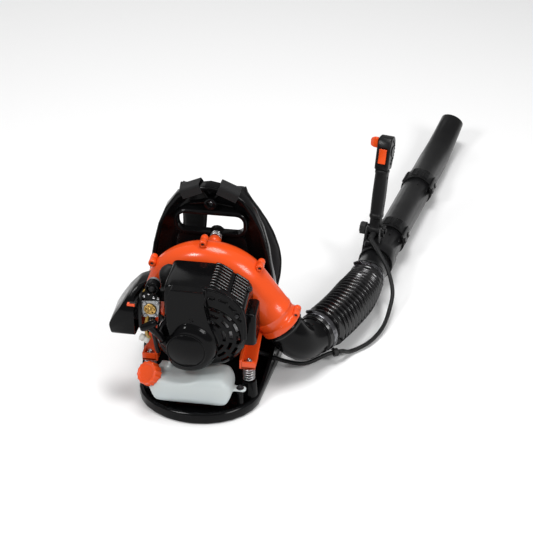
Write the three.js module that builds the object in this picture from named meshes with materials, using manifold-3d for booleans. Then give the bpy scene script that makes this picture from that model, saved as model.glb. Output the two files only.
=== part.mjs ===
// Backpack leaf blower, built as the separate pieces of the real machine.
// Millimetres, +Z up. The origin is on the underside of the base, on its centre line.
// The engine faces -Y, the wearer's back is at +Y, and the blower wand leaves at +X.
import * as THREE from 'three';
import { mergeVertices } from 'three/addons/utils/BufferGeometryUtils.js';
import Module from 'manifold-3d';

const wasm = await Module();
wasm.setup();

const V = (x, y, z) => new THREE.Vector3(x, y, z);
const rad = THREE.MathUtils.degToRad;

// ---------------------------------------------------------------- driving dimensions

const GAP = 0.3;              // clearance between pieces that touch
const PLAY = 0.3;             // radial clearance of a turning fit
const WELD = 1e-4;
const SLIVER = 0.04;          // slimmer slivers are merged away
const PAST = 5;               // how far a cutting body runs past the faces it opens

// base tray
const BASE_FRONT = 150;       // front edge ahead of the origin
const BASE_BACK = 140;        // back edge behind the origin
const BASE_SIDE_HALF = 130;   // half width where the round front starts
const BASE_SIDE_Y = -44;
const BASE_BACK_HALF = 150;
const BASE_CORNER = 22;
const RIM_HEIGHT = 25;
const RIM_WALL = 8;
const FLOOR_WALL = 4;
const RIM_ROUND = 3;
const GUSSET_RISE = 84;
const GUSSET_WALL = 7;

// back plate
const PLATE_TOP = 425;
const PLATE_HALF = 138;       // half width where the arch starts
const PLATE_FOOT_HALF = 146;
const PLATE_SPRING_Z = 170;   // height where the arch starts
const PLATE_SHOULDER = [[121, PLATE_TOP - 125], [106, PLATE_TOP]];
const PLATE_FRONT = 118;      // front of the sheet
const PLATE_WALL = 4;
const PLATE_RIM_DEPTH = 26;
const PLATE_RIM_WALL = 8;
const PLATE_BACK = PLATE_FRONT + PLATE_WALL;
const PANEL_RISE = 9;         // raised centre panel
const PANEL_TOP = 300;
const PANEL_BOTTOM = 60;
const PANEL_TOP_HALF = 72;
const PANEL_BOTTOM_HALF = 96;
const PANEL_FRONT = PLATE_FRONT - PANEL_RISE;
const SLOT_Z = 331;
const SLOT_WIDTH = 138;
const SLOT_HEIGHT = 43;
const SLOT_ROUND = 16;
const SLOT_LIP = 9;
const SLOT_LIP_DEPTH = 20;
const HANG_Z = 378;
const HANG_RADIUS = 7;
const HANG_LIP = 6;
const RIB_WALL = 3;
const RIB_LENGTH = 34;
const RIB_ANGLES = [-99, -34, 34, 99];

// vibration springs
const SPRING_X = [-101, 106];  // left and right
const SPRING_Y = -62;
const SPRING_BOTTOM = 62;
const SPRING_HEIGHT = 35;
const SPRING_OUTER = 13;
const SPRING_WIRE = 1.6;
const SPRING_TURNS = 5;
const SPRING_PEG = 8;
const SPRING_PEG_RISE = 9;
const SEAT_RADIUS = 17;
const TOP_SPRING_X = 11;
const TOP_SPRING_Z = 300;
const TOP_SPRING_LENGTH = 18;
const TOP_SPRING_TURNS = 3;
const TOP_SPRING_FRONT = PANEL_FRONT - TOP_SPRING_LENGTH;

// fan and its case
const FAN_X = -12;
const FAN_Z = 175;
const FAN_Y = 48;             // seam plane of the case
const VOLUTE_CORE = 70;       // inner radius of the spiral duct
const VOLUTE_START = 320;     // degrees, seen from the engine side
const VOLUTE_END = 35;
const VOLUTE_START_DUCT = 6;
const VOLUTE_STEPS = 15;
const DUCT_RADIUS = 44;
const DUCT_SIDES = 14;
const DUCT_LENGTH = 134;
const COLLAR_RISE = 2;
const COLLAR_LENGTH = 16;
const CASE_WALL = 3;
const DRUM_RADIUS = 87;
const DRUM_HALF = 26;
const DRUM_SIDES = 24;
const DRUM_FACE = FAN_Y - DRUM_HALF;
const CASE_FLANGE = 5;        // ring that carries the crankcase
const INLET_RADIUS = 55;
const INLET_LIP = 4;
const INLET_SLOTS = 4;
const INLET_RINGS = [25, 43];
const INLET_SLOT_WIDTH = 12;
const BOSS_RADIUS = 8;
const BOSS_HOLE = 2.6;
const BOSS_FRONT = 17;        // boss length each side of the seam
const BOSS_BACK = 14;
const BOSS_ANGLES = [137.5, 87, 39];
const EXIT_BOSS_BACK = 12;    // boss behind the outlet
const ARM_WALL = 6;
const ARM_HALF = 15;
const ARM_REACH = 66;         // height where the arm meets the case, above its foot

// impeller and crankshaft
const IMPELLER_RADIUS = 80;
const IMPELLER_VANES = 8;
const IMPELLER_VANE_HEIGHT = 32;
const IMPELLER_VANE_WALL = 2.4;
const IMPELLER_FRONT = DRUM_FACE + CASE_WALL + 3;
const SHAFT_RADIUS = 6;
const SHAFT_SIDES = 12;
const NUT_RADIUS = 10;
const NUT_HEIGHT = 5;

// engine
const CASE_FRONT = -56;       // front of the crankcase
const CRANKCASE_RADIUS = 42;
const CYLINDER_Y = -22;
const CYLINDER_RADIUS = 22;
const CYLINDER_FOOT = 212;
const FIN_COUNT = 6;
const FIN_PITCH = 11;
const FIN_WALL = 2.4;
const FIN_WIDTH = 74;
const FIN_DEPTH = 40;
const PORT_Z = CYLINDER_FOOT + 24;
const PORT_LENGTH = 6;
const COVER_WALL = 3;
const COVER_FRONT = -93;
const COVER_BACK = 2;
const COVER_LEFT = -61;
const COVER_TOP = CYLINDER_FOOT + 92;
const COVER_BREAK = 38;       // x where the roof starts to slope
const COVER_RIGHT = 103;
const COVER_RIGHT_Z = CYLINDER_FOOT + 49;
const COVER_BOTTOM = CYLINDER_FOOT + 17;
const LOUVRE_ROWS = 8;
const LOUVRE_PITCH = 9.8;
const LOUVRE_WIDTH = 4.4;
const LOUVRE_BAR = 6;
const PLUG_Y = -8;
const PLUG_Z = CYLINDER_FOOT + 66;
const PLUG_HOLE = 14.5;
const MUFFLER_RIGHT = 88;
const MUFFLER_Z = CYLINDER_FOOT - 26;
const MUFFLER_HEIGHT = 76;
const GUARD_RIGHT = 120;
const GUARD_BOTTOM = MUFFLER_Z - 40;
const GUARD_TOP = MUFFLER_Z + 38;
const GUARD_FRONT = -60;
const GUARD_BACK = 2;
const GUARD_WALL = 3;
const GUARD_FRAME = 16;       // rim that seats on the muffler
const GUARD_SLOTS = 4;

// recoil starter
const STARTER_BACK = -62;
const DRUM_FRONT = -101;
const STARTER_RADIUS = 66;
const GRILLE_X = 22;
const GRILLE_Z = 188;
const GRILLE_RADIUS = 82;
const GRILLE_SIDES = 26;
const COLUMN_FRONT = -111;
const COLUMN_HALF = 33;
const COLUMN_TOP = COVER_TOP - 8;
const CAP_X = -12;
const CAP_Z = 167;
const CAP_RADIUS = 43;
const CAP_FRONT = -120;
const CAP_BACK = -81;
const STARTER_WALL = 3;
const STARTER_BOSS = 6.5;
const SLOT_RINGS = [[40, 3], [54, 5], [68, 6]];
const SLOT_RING_WIDTH = 6.5;
const SLOT_FIRST = -62;       // degrees, start of each row of slots
const SLOT_LAST = 88;
const PULLEY_RADIUS = 34;
const PULLEY_WIDTH = 10;
const PULLEY_GROOVE = 5;
const PULLEY_FRONT = DRUM_FRONT + STARTER_WALL + 3;
const PULLEY_BACK = PULLEY_FRONT + PULLEY_WIDTH + 1;
const POST_RADIUS = 4;
const FLYWHEEL_RADIUS = 54;
const FLYWHEEL_WIDTH = 12;
const FLYWHEEL_VANES = 6;
const FLYWHEEL_FRONT = STARTER_BACK + CASE_WALL - FLYWHEEL_WIDTH - PAST;
const PULL = V(-0.52, -0.23, 0.82).normalize();
const ROPE_EXIT = V(-61, -111, 181);
const ROPE_RADIUS = 1.6;
const GRIP_BAR = 42;
const GRIP_RADIUS = 8;
const GRIP_STEM = 42;
const GUIDE_RADIUS = 8.5;

// intake side
const CARB_RIGHT = -82;
const CARB_LEFT = -111;
const CARB_FRONT = -60;
const CARB_BACK = -22;
const CARB_BOTTOM = PORT_Z - 38;
const CARB_TOP = PORT_Z + 2;
const PRIMER_RADIUS = 10;
const PRIMER_X = -92;
const PRIMER_Z = CARB_TOP + 32;
const PRIMER_TRAVEL = 6;
const THROTTLE_X = -96;
const THROTTLE_Y = -44;
const THROTTLE_PIN = 2;
const FILTER_PLATE_WALL = 7;
const FILTER_PLATE_RIGHT = CARB_LEFT - 2 - GAP;
const CLEANER_FRONT = -84;
const CLEANER_BACK = -6;
const CLEANER_LEFT = -181;
const CLEANER_BOTTOM = PORT_Z - 86;
const CLEANER_TOP = PORT_Z + 48;
const CLEANER_WALL = 2.5;
const CLEANER_OPEN = -127;
const CHOKE_Y = -56;
const CHOKE_Z = PORT_Z + 4;
const CHOKE_PIN = 2.5;
const CHOKE_WALL = 3;

// fuel tank
const TANK_FRONT = -130;
const TANK_BACK = -52;
const TANK_BOTTOM = 28;
const TANK_TOP = 98;
const TANK_LEFT = -97;
const TANK_RIGHT = 81;
const TANK_ROUND = 20;
const TANK_TAB_X = 93;
const TANK_TAB_Y = -97;
const TANK_TAB_Z = 60;        // underside of the tab
const TANK_TAB_WALL = 5;
const TANK_POST = 7;
const CRADLE_X = [-52, 42];
const CRADLE_HALF = 5;
const NECK_FOOT = V(-86, -101, 80);
const NECK_AXIS = V(-0.45, -0.6, 0.66).normalize();
const NECK_RADIUS = 16;
const NECK_LENGTH = 12;
const FUEL_CAP_RIBS = 16;
const FUEL_CAP_RADIUS = 23.5;
const FUEL_CAP_HEIGHT = 21;
const FUEL_CAP_FOOT = 7;       // rim of the cap above the neck's foot
const FUEL_X = -58;
const FUEL_Y = -74;
const FUEL_LINE_RADIUS = 3;

// air path
const ELBOW_RADIUS = 41;
const PIPE_WALL = 2.6;
const HOSE_SIDES = 16;
const HOSE_START = V(222, 112, 64);
const HOSE_START_TURN = 29;   // degrees from +Y towards +X
const WAND_ORIGIN = V(310, 348, 60);
const WAND_TURN = 10.6;
const WAND_DIP = 2.3;
const CUFF_LENGTH = 30;
const CUFF_WALL = 2.4;
const HOSE_PEAK = 49.5;
const HOSE_VALLEY = 45;
const HOSE_FOLDS = 16;
const HOSE_TAPER = 5;         // folds over which the upper end narrows
const CLAMP_WIDTH = 12;
const CLAMP_WALL = 1.4;
const PIPE_RADIUS = 35.5;
const PIPE_SIDES = 20;
const BELL_RADIUS = 39.6;
const BELL_LENGTH = 45;
const BELL_TAPER = 14;
const SOCKET_DEPTH = 36;
const SWIVEL_END = 180;       // along the wand, where the straight pipe starts
const PIPE_END = 435;         // along the wand, where the nozzle starts
const NOZZLE_STRAIGHT = 165;
const NOZZLE_BEND = 30;
const NOZZLE_BEND_LENGTH = 165;
const NOZZLE_ROLL = 13;
const NOZZLE_TIP_RADIUS = 29.5;
const LATCH_SIDE = 62;        // degrees about the pipe

// control handle
const BRACKET_Y = 86;
const BRACKET_WIDTH = 34;
const BRACKET_WALL = 4.5;
const PIVOT_X = -18;
const PIVOT_Y = 116;
const PIVOT_Z = 60;
const EAR_RADIUS = 12;
const EAR_WALL = 6;
const LUG_HALF = 13;
const HANDLE_LEAN = 17;
const STEM_WIDTH = 27;
const STEM_DEPTH = 32;
const STEM_BOTTOM = 28;
const STEM_TOP = 143;
const HEAD_WIDTH = 32;
const HEAD_TOP = 221;
const KNOB_RADIUS = 15;
const KNOB_LENGTH = 14;
const KNOB_LOBES = 8;
const BOLT_RADIUS = 3.5;
const TRIGGER_HALF = 7;
const TRIGGER_FOOT = 80;
const TRIGGER_POCKET = 1;     // floor of the slot it swings into
const TRIGGER_PIVOT_Y = 11;
const TRIGGER_PIVOT_Z = 151;
const TRIGGER_PIN = 2.2;
const SWITCH_Z = 176;
const SWITCH_HEIGHT = 34;
const SWITCH_WIDTH = 17;
const SWITCH_Y = -11;
const CRUISE_Y = 0;
const CRUISE_Z = 203;
const CRUISE_PIN = 3;

// control cable
const CABLE_RADIUS = 4.6;
const CABLE_SIDES = 6;
const CLIP_AXIS = V(0.86, 0.5, -0.05).normalize();
const CABLE_FIXED = [V(80, 8, 116), V(94, 30, 70), V(124, 52, 44), V(166, 60, 24), V(206, 66, 18)];
const CABLE_LOOP = [
  V(296, 134, 10), V(332, 172, 9), V(358, 226, 13), V(369, 284, 26), V(371, 326, 46), V(355, 362, 80),
  V(333, 392, 101),
];
const CABLE_DROP = 6;         // how far below the handle's pivot it enters
const CABLE_SPLITS = [0, 0.34, 0.68, 1];

// harness
const STRAP_X = 42;
const STRAP_WIDTH = 44;
const STRAP_WALL = 2.4;
const STRAP_TILT = 24;
const STRAP_DROP = 18;
const STRAP_Z = PLATE_TOP - 8;
const WEB_HALF = 12.5;
const PAD_WIDTH = 62;
const PAD_WALL = 16;
const PAD_DROP = 277;         // from the top straps to the lower end of a shoulder pad
const PAD_END = STRAP_Z - PAD_DROP;
const STRAP_FOOT = 44;        // where the lower straps meet the plate
const SHOULDER_PADS = {       // across, back and drop below the top straps
  shoulder_pad_left: [
    [-40, 139, 17.6], [-47, 158, 45], [-46, 172, 93], [-50, 176, 149], [-64, 170, 217], [-82, 158, PAD_DROP],
  ],
  shoulder_pad_right: [
    [41, 139, 16.6], [46, 158, 46], [72, 172, 95], [98, 176, 151], [115, 168, 217], [106, 156, PAD_DROP],
  ],
};
const LOWER_STRAPS = {        // across, back and drop below the shoulder pad
  lower_strap_left: [
    [-82.2, 157.8, 0.6], [-92, 150, 32], [-99, 136, 66], [-101, 127.2, 80],
    [-102, 123.9, PAD_END - STRAP_FOOT],
  ],
  lower_strap_right: [
    [105.9, 155.8, 0.6], [102, 149, 34], [103, 136, 66], [104, 127.2, 80], [104, 123.9, PAD_END - STRAP_FOOT],
  ],
};
const CUSHION_WIDTH = 196;
const CUSHION_HEIGHT = 170;
const CUSHION_Z = 180;
const CUSHION_BACK = PLATE_BACK + 18;

// colour, roughness, metalness
const COLOURS = {
  black: [0x101012, 0.34, 0],
  satin: [0x141416, 0.5, 0],
  rubber: [0x0c0c0d, 0.6, 0],
  orange: [0xf2501c, 0.35, 0],
  tank: [0xdfe6ea, 0.35, 0],
  cloth: [0x17171a, 0.95, 0],
  aluminium: [0xb6b8bc, 0.4, 0.9],
  steel: [0xc4c6ca, 0.3, 1],
  foam: [0x33343a, 0.95, 0],
};

// ---------------------------------------------------------------- solids from geometry

// weld a geometry's vertices, drop its collapsed triangles and make a solid of it
function toSolid(geometry) {
  const bare = geometry.clone();
  for (const name of Object.keys(bare.attributes)) {
    if (name !== 'position') bare.deleteAttribute(name);
  }
  const welded = mergeVertices(bare, WELD);
  const source = welded.index.array;
  const triangles = [];
  for (let i = 0; i < source.length; i += 3) {
    const [a, b, c] = [source[i], source[i + 1], source[i + 2]];
    if (a !== b && b !== c && c !== a) triangles.push(a, b, c);
  }
  return new wasm.Manifold(new wasm.Mesh({
    numProp: 3,
    vertProperties: new Float32Array(welded.attributes.position.array),
    triVerts: new Uint32Array(triangles),
  }));
}

function toGeometry(solid) {
  const mesh = solid.asOriginal().simplify(SLIVER).getMesh();
  const geometry = new THREE.BufferGeometry();
  geometry.setAttribute('position', new THREE.BufferAttribute(mesh.vertProperties, 3));
  geometry.setIndex(new THREE.BufferAttribute(mesh.triVerts, 1));
  geometry.computeVertexNormals();
  return geometry;
}

const join = (...solids) => solids.flat().reduce((sum, solid) => sum.add(solid));
const cut = (solid, ...tools) => tools.flat().reduce((rest, tool) => rest.subtract(tool), solid);
const offset = (point, direction, distance) => point.clone().addScaledVector(direction, distance);

// radius of a bore with flat sides that clears a round of this radius at every angle
const bored = (radius, sides) => (radius + GAP) / Math.cos(Math.PI / sides);

// turn a geometry's own Y axis to a direction and move it to a place
function place(geometry, at, direction = V(0, 1, 0)) {
  const turn = new THREE.Quaternion().setFromUnitVectors(V(0, 1, 0), direction.clone().normalize());
  return geometry.applyQuaternion(turn).translate(at.x, at.y, at.z);
}

// box between two corners
function block(low, high) {
  const size = high.clone().sub(low);
  const centre = low.clone().add(high).multiplyScalar(0.5);
  return toSolid(new THREE.BoxGeometry(size.x, size.y, size.z).translate(centre.x, centre.y, centre.z));
}

// cylinder or cone between two points
function rod(from, to, radius, sides = 16, endRadius = radius) {
  const axis = to.clone().sub(from);
  const geometry = new THREE.CylinderGeometry(endRadius, radius, axis.length(), sides);
  return toSolid(place(geometry, from.clone().add(to).multiplyScalar(0.5), axis));
}

// revolved profile of [radius, height] points about a direction through a place
function revolve(profile, at, direction, sides = 24) {
  const points = profile.map(([r, h]) => new THREE.Vector2(r, h));
  return toSolid(place(new THREE.LatheGeometry(points, sides), at, direction));
}

// ring of rectangular section
function sleeve(inner, outer, from, to, sides = 24) {
  const length = from.distanceTo(to);
  const profile = [[inner, 0], [outer, 0], [outer, length], [inner, length], [inner, 0]];
  return revolve(profile, from, to.clone().sub(from), sides);
}

function extrude(shape, length, { bevel = 0, segments = 4, bevelSegments = 1 } = {}) {
  return new THREE.ExtrudeGeometry(shape, {
    depth: length - 2 * bevel,
    curveSegments: segments,
    bevelEnabled: bevel > 0,
    bevelThickness: bevel,
    bevelSize: bevel,
    bevelOffset: -bevel,
    bevelSegments,
  }).translate(0, 0, bevel);
}

// outline in the XZ plane, drawn as (x, z), extruded along Y
function frontPrism(shape, front, back, options) {
  return toSolid(extrude(shape, back - front, options).rotateX(Math.PI / 2).translate(0, back, 0));
}

// outline in the XY plane extruded along Z
function planPrism(shape, bottom, top, options) {
  return toSolid(extrude(shape, top - bottom, options).translate(0, 0, bottom));
}

// outline in the YZ plane, drawn as (y, z), extruded along X
function sidePrism(shape, left, right, options) {
  const toYZ = new THREE.Matrix4().makeBasis(V(0, 1, 0), V(0, 0, 1), V(1, 0, 0));
  return toSolid(extrude(shape, right - left, options).applyMatrix4(toYZ).translate(left, 0, 0));
}

// rounded rectangle about a centre
function roundedRect(cx, cy, width, height, round) {
  const shape = new THREE.Shape();
  const x = width / 2 - round;
  const y = height / 2 - round;
  shape.absarc(cx + x, cy - y, round, -Math.PI / 2, 0);
  shape.absarc(cx + x, cy + y, round, 0, Math.PI / 2);
  shape.absarc(cx - x, cy + y, round, Math.PI / 2, Math.PI);
  shape.absarc(cx - x, cy - y, round, Math.PI, Math.PI * 1.5);
  shape.closePath();
  return shape;
}

// closed outline through corner points, each corner rounded by its own radius: [x, y, radius]
function roundedPolygon(corners) {
  const shape = new THREE.Shape();
  corners.forEach(([x, y, round = 0], i) => {
    const corner = new THREE.Vector2(x, y);
    const before = new THREE.Vector2(...corners.at(i - 1).slice(0, 2)).sub(corner).normalize();
    const after = new THREE.Vector2(...corners[(i + 1) % corners.length].slice(0, 2)).sub(corner).normalize();
    const start = corner.clone().addScaledVector(before, round);
    const end = corner.clone().addScaledVector(after, round);
    if (i === 0) shape.moveTo(start.x, start.y);
    else shape.lineTo(start.x, start.y);
    if (round > 0) shape.quadraticCurveTo(x, y, end.x, end.y);
  });
  shape.closePath();
  return shape;
}

const polygon = (points) => new THREE.Shape(points.map(([x, y]) => new THREE.Vector2(x, y)));

function circleShape(cx, cy, radius, sides) {
  return polygon(Array.from({ length: sides }, (_, i) => {
    const angle = (i / sides) * Math.PI * 2;
    return [cx + radius * Math.cos(angle), cy + radius * Math.sin(angle)];
  }));
}

// slot that follows a circle, with straight ends
function arcSlot(cx, cy, radius, width, fromDeg, toDeg) {
  const [a, b] = [rad(fromDeg), rad(toDeg)];
  const shape = new THREE.Shape();
  shape.absarc(cx, cy, radius + width / 2, a, b, false);
  shape.absarc(cx, cy, radius - width / 2, b, a, true);
  shape.closePath();
  return shape;
}

// circle with a wavy rim
function ribbedCircle(radius, ribs, depth) {
  const count = ribs * 2;
  return polygon(Array.from({ length: count }, (_, i) => {
    const angle = (i / count) * Math.PI * 2;
    const reach = radius - (i % 2) * depth;
    return [reach * Math.cos(angle), reach * Math.sin(angle)];
  }));
}

// skin over rings of points; closed joins the last ring to the first, otherwise both ends are capped
function loft(rings, closed = false) {
  const sides = rings[0].length;
  const index = [];
  const spans = closed ? rings.length : rings.length - 1;
  for (let i = 0; i < spans; i++) {
    const a = i * sides;
    const b = ((i + 1) % rings.length) * sides;
    for (let j = 0; j < sides; j++) {
      const k = (j + 1) % sides;
      index.push(a + j, a + k, b + k, a + j, b + k, b + j);
    }
  }
  if (!closed) {
    const last = (rings.length - 1) * sides;
    for (let j = 1; j < sides - 1; j++) {
      index.push(0, j + 1, j);
      index.push(last, last + j, last + j + 1);
    }
  }
  const points = rings.flat();
  const geometry = new THREE.BufferGeometry();
  geometry.setAttribute('position', new THREE.Float32BufferAttribute(points.flatMap((p) => p.toArray()), 3));
  geometry.setIndex(signedVolume(points, index) < 0 ? index.reverse() : index);
  return toSolid(geometry);
}

function signedVolume(points, index) {
  let sum = 0;
  for (let i = 0; i < index.length; i += 3) {
    const [a, b, c] = [points[index[i]], points[index[i + 1]], points[index[i + 2]]];
    sum += a.dot(b.clone().cross(c));
  }
  return sum;
}

// circles square to a path at stations of [distance, radius]
function circlesAlong(path, stations, sides) {
  const length = path.getLength();
  const normal = V(0, 0, 1);
  return stations.map(([distance, radius]) => {
    const share = THREE.MathUtils.clamp(distance / length, 0, 1);
    const centre = path.getPointAt(share);
    const line = path.getTangentAt(share);
    normal.addScaledVector(line, -normal.dot(line)).normalize();
    const across = line.clone().cross(normal);
    return Array.from({ length: sides }, (_, j) => {
      const angle = (j / sides) * Math.PI * 2;
      return offset(
        centre, normal, radius * Math.cos(angle),
      ).addScaledVector(across, radius * Math.sin(angle));
    });
  });
}

// open-ended pipe along a path, from stations of its outside and of its bore
function pipeAlong(path, outside, bore, sides) {
  return loft([
    ...circlesAlong(path, outside, sides),
    ...circlesAlong(path, bore, sides).reverse(),
  ], true);
}

// solid cord along a curve
function cord(curve, radius, steps, sides = CABLE_SIDES) {
  const length = curve.getLength();
  const stations = Array.from({ length: steps + 1 }, (_, i) => [(length * i) / steps, radius]);
  return loft(circlesAlong(curve, stations, sides));
}

// ---------------------------------------------------------------- groups and pieces

const group = new THREE.Group();
const wand = new THREE.Group();
wand.position.copy(WAND_ORIGIN);
wand.rotation.set(rad(-WAND_DIP), 0, rad(-WAND_TURN), 'ZXY');
const handle = new THREE.Group();
handle.position.set(PIVOT_X, PIVOT_Y, PIVOT_Z);
handle.rotation.x = rad(-HANDLE_LEAN);
wand.add(handle);
group.add(wand);

function piece(name, colour, solid, parent = group) {
  const [color, roughness, metalness] = COLOURS[colour];
  const material = new THREE.MeshStandardMaterial({ color, roughness, metalness });
  const mesh = new THREE.Mesh(toGeometry(solid), material);
  mesh.name = name;
  parent.add(mesh);
}

// ---------------------------------------------------------------- back frame

function baseOutline(inset) {
  const shape = new THREE.Shape();
  const half = BASE_SIDE_HALF - inset;
  const backHalf = BASE_BACK_HALF - inset;
  const back = BASE_BACK - inset;
  shape.absellipse(0, BASE_SIDE_Y, half, BASE_FRONT + BASE_SIDE_Y - inset, Math.PI, Math.PI * 2);
  shape.lineTo(backHalf, back - BASE_CORNER);
  shape.quadraticCurveTo(backHalf, back, backHalf - BASE_CORNER, back);
  shape.lineTo(BASE_CORNER - backHalf, back);
  shape.quadraticCurveTo(-backHalf, back, -backHalf, back - BASE_CORNER);
  shape.closePath();
  return shape;
}

function plateOutline(inset) {
  const shape = new THREE.Shape();
  const foot = FLOOR_WALL / 2;
  const half = PLATE_HALF - inset;
  const top = PLATE_TOP - inset;
  const [[lowX, lowZ], [highX, highZ]] = PLATE_SHOULDER;
  shape.moveTo(PLATE_FOOT_HALF - inset, foot);
  shape.lineTo(half, PLATE_SPRING_Z);
  shape.bezierCurveTo(lowX - inset, lowZ, highX - inset, highZ - inset, 0, top);
  shape.bezierCurveTo(inset - highX, highZ - inset, inset - lowX, lowZ, -half, PLATE_SPRING_Z);
  shape.lineTo(inset - PLATE_FOOT_HALF, foot);
  shape.closePath();
  return shape;
}

function panelOutline(inset) {
  return roundedPolygon([
    [PANEL_BOTTOM_HALF - inset, PANEL_BOTTOM + inset, 10],
    [PANEL_TOP_HALF - inset, PANEL_TOP - inset, 14],
    [inset - PANEL_TOP_HALF, PANEL_TOP - inset, 14],
    [inset - PANEL_BOTTOM_HALF, PANEL_BOTTOM + inset, 10],
  ]);
}

// curved web between the plate and the rim of the tray
function gusset(side) {
  const length = BASE_BACK - BASE_CORNER - BASE_SIDE_Y;
  const lean = Math.atan2(BASE_BACK_HALF - BASE_SIDE_HALF, length);
  const shape = new THREE.Shape();
  shape.moveTo(0, 0);
  shape.lineTo(length, 0);
  shape.lineTo(length, GUSSET_RISE);
  shape.quadraticCurveTo(length * 0.6, GUSSET_RISE * 0.16, 0, 0);
  const inner = side > 0 ? -GUSSET_WALL : 0;
  return sidePrism(shape, inner, inner + GUSSET_WALL, { segments: 7 })
    .rotate([0, 0, -side * THREE.MathUtils.radToDeg(lean)])
    .translate([side * (BASE_SIDE_HALF - 0.5), BASE_SIDE_Y, RIM_HEIGHT - RIM_ROUND]);
}

function tray() {
  return cut(
    planPrism(baseOutline(0), 0, RIM_HEIGHT, { segments: 7, bevel: RIM_ROUND }),
    planPrism(baseOutline(RIM_WALL), FLOOR_WALL, RIM_HEIGHT + PAST, { segments: 7 }),
  );
}

function backPlate() {
  const rimFront = PLATE_BACK - PLATE_RIM_DEPTH;
  const lipFront = PLATE_BACK - SLOT_LIP_DEPTH;
  const rim = cut(
    frontPrism(plateOutline(0), rimFront, PLATE_BACK, { segments: 7, bevel: 2 }),
    frontPrism(plateOutline(PLATE_RIM_WALL), rimFront - PAST, PLATE_FRONT, { segments: 7 }),
  );
  const lip = roundedRect(
    0, SLOT_Z, SLOT_WIDTH + 2 * SLOT_LIP, SLOT_HEIGHT + 2 * SLOT_LIP, SLOT_ROUND + SLOT_LIP,
  );
  const slot = roundedRect(0, SLOT_Z, SLOT_WIDTH, SLOT_HEIGHT, SLOT_ROUND);
  const ribs = RIB_ANGLES.map((angle) => {
    const rib = new THREE.BoxGeometry(RIB_WALL, PLATE_WALL * 2, RIB_LENGTH);
    rib.translate(0, 0, HANG_RADIUS + HANG_LIP + RIB_LENGTH / 2 - 1).rotateY(rad(angle));
    return toSolid(rib.translate(0, PLATE_FRONT - PLATE_WALL + 1, HANG_Z));
  });
  return cut(
    join(
      rim, ribs,
      frontPrism(panelOutline(0), PANEL_FRONT, PLATE_FRONT + 1, { segments: 3 }),
      frontPrism(lip, lipFront, PLATE_BACK, { segments: 3, bevel: 3 }),
      rod(V(0, lipFront, HANG_Z), V(0, PLATE_BACK, HANG_Z), HANG_RADIUS + HANG_LIP, 16),
    ),
    frontPrism(panelOutline(PLATE_WALL), PANEL_FRONT + PLATE_WALL, PLATE_BACK + PAST, { segments: 3 }),
    frontPrism(slot, lipFront - PAST, PLATE_BACK + PAST, { segments: 3 }),
    rod(V(0, lipFront - PAST, HANG_Z), V(0, PLATE_BACK + PAST, HANG_Z), HANG_RADIUS, 16),
  );
}

function springPost(x) {
  const at = (z) => V(x, SPRING_Y, z);
  const foot = FLOOR_WALL - 1;
  return join(
    rod(at(foot), at(SPRING_BOTTOM - GAP), SEAT_RADIUS + 3, 14, SEAT_RADIUS - 2),
    rod(at(SPRING_BOTTOM - 2), at(SPRING_BOTTOM + SPRING_PEG_RISE), SPRING_PEG, 10),
  );
}

function frame() {
  const topPeg = rod(
    V(TOP_SPRING_X, PANEL_FRONT - SPRING_PEG_RISE, TOP_SPRING_Z), V(TOP_SPRING_X, PLATE_FRONT, TOP_SPRING_Z),
    SPRING_PEG, 10,
  );
  const topSeat = rod(
    V(TOP_SPRING_X, PANEL_FRONT + GAP, TOP_SPRING_Z), V(TOP_SPRING_X, PLATE_BACK, TOP_SPRING_Z),
    SEAT_RADIUS, 16,
  );
  const tankPost = rod(
    V(TANK_TAB_X, TANK_TAB_Y, FLOOR_WALL - 1), V(TANK_TAB_X, TANK_TAB_Y, TANK_TAB_Z - GAP), TANK_POST, 10,
  );
  const cradle = CRADLE_X.map((x) => block(
    V(x - CRADLE_HALF, TANK_FRONT + TANK_ROUND + 4, FLOOR_WALL - 1),
    V(x + CRADLE_HALF, TANK_BACK - TANK_ROUND, TANK_BOTTOM - GAP),
  ));
  const springSpace = rod(
    V(TOP_SPRING_X, PLATE_BACK - SLOT_LIP_DEPTH - PAST, TOP_SPRING_Z),
    V(TOP_SPRING_X, PANEL_FRONT + GAP, TOP_SPRING_Z),
    SPRING_OUTER + 1,
  );
  const cableHole = rod(CABLE_FIXED[2], CABLE_FIXED[3], CABLE_RADIUS + 3, 12);
  return join(
    tray(), cut(backPlate(), springSpace), gusset(-1), cut(gusset(1), cableHole), SPRING_X.map(springPost),
    topSeat, topPeg,
    tankPost, cradle,
  );
}
piece('frame', 'black', frame());

// ---------------------------------------------------------------- vibration springs

class Helix extends THREE.Curve {
  constructor(radius, height, turns) {
    super();
    Object.assign(this, { radius, height, turns });
  }

  getPoint(t) {
    const angle = t * this.turns * Math.PI * 2;
    return V(this.radius * Math.cos(angle), this.height * t, this.radius * Math.sin(angle));
  }
}

function spring(foot, direction, length, turns) {
  const helix = new Helix(SPRING_OUTER - SPRING_WIRE, length - 2 * (SPRING_WIRE + GAP), turns);
  const steps = turns * 8;
  const start = offset(foot, direction, SPRING_WIRE + GAP);
  const turn = new THREE.Quaternion().setFromUnitVectors(V(0, 1, 0), direction);
  const rings = Array.from({ length: steps + 1 }, (_, i) => {
    const centre = helix.getPoint(i / steps);
    const out = V(centre.x, 0, centre.z).normalize();
    return Array.from({ length: 4 }, (__, j) => {
      const angle = (j / 4) * Math.PI * 2;
      const point = offset(centre, out, SPRING_WIRE * Math.cos(angle));
      return point.add(V(0, SPRING_WIRE * Math.sin(angle), 0)).applyQuaternion(turn).add(start);
    });
  });
  return loft(rings);
}
['spring_left', 'spring_right'].forEach((name, i) => {
  piece(
    name, 'steel',
    spring(V(SPRING_X[i], SPRING_Y, SPRING_BOTTOM), V(0, 0, 1), SPRING_HEIGHT, SPRING_TURNS),
  );
});
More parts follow.
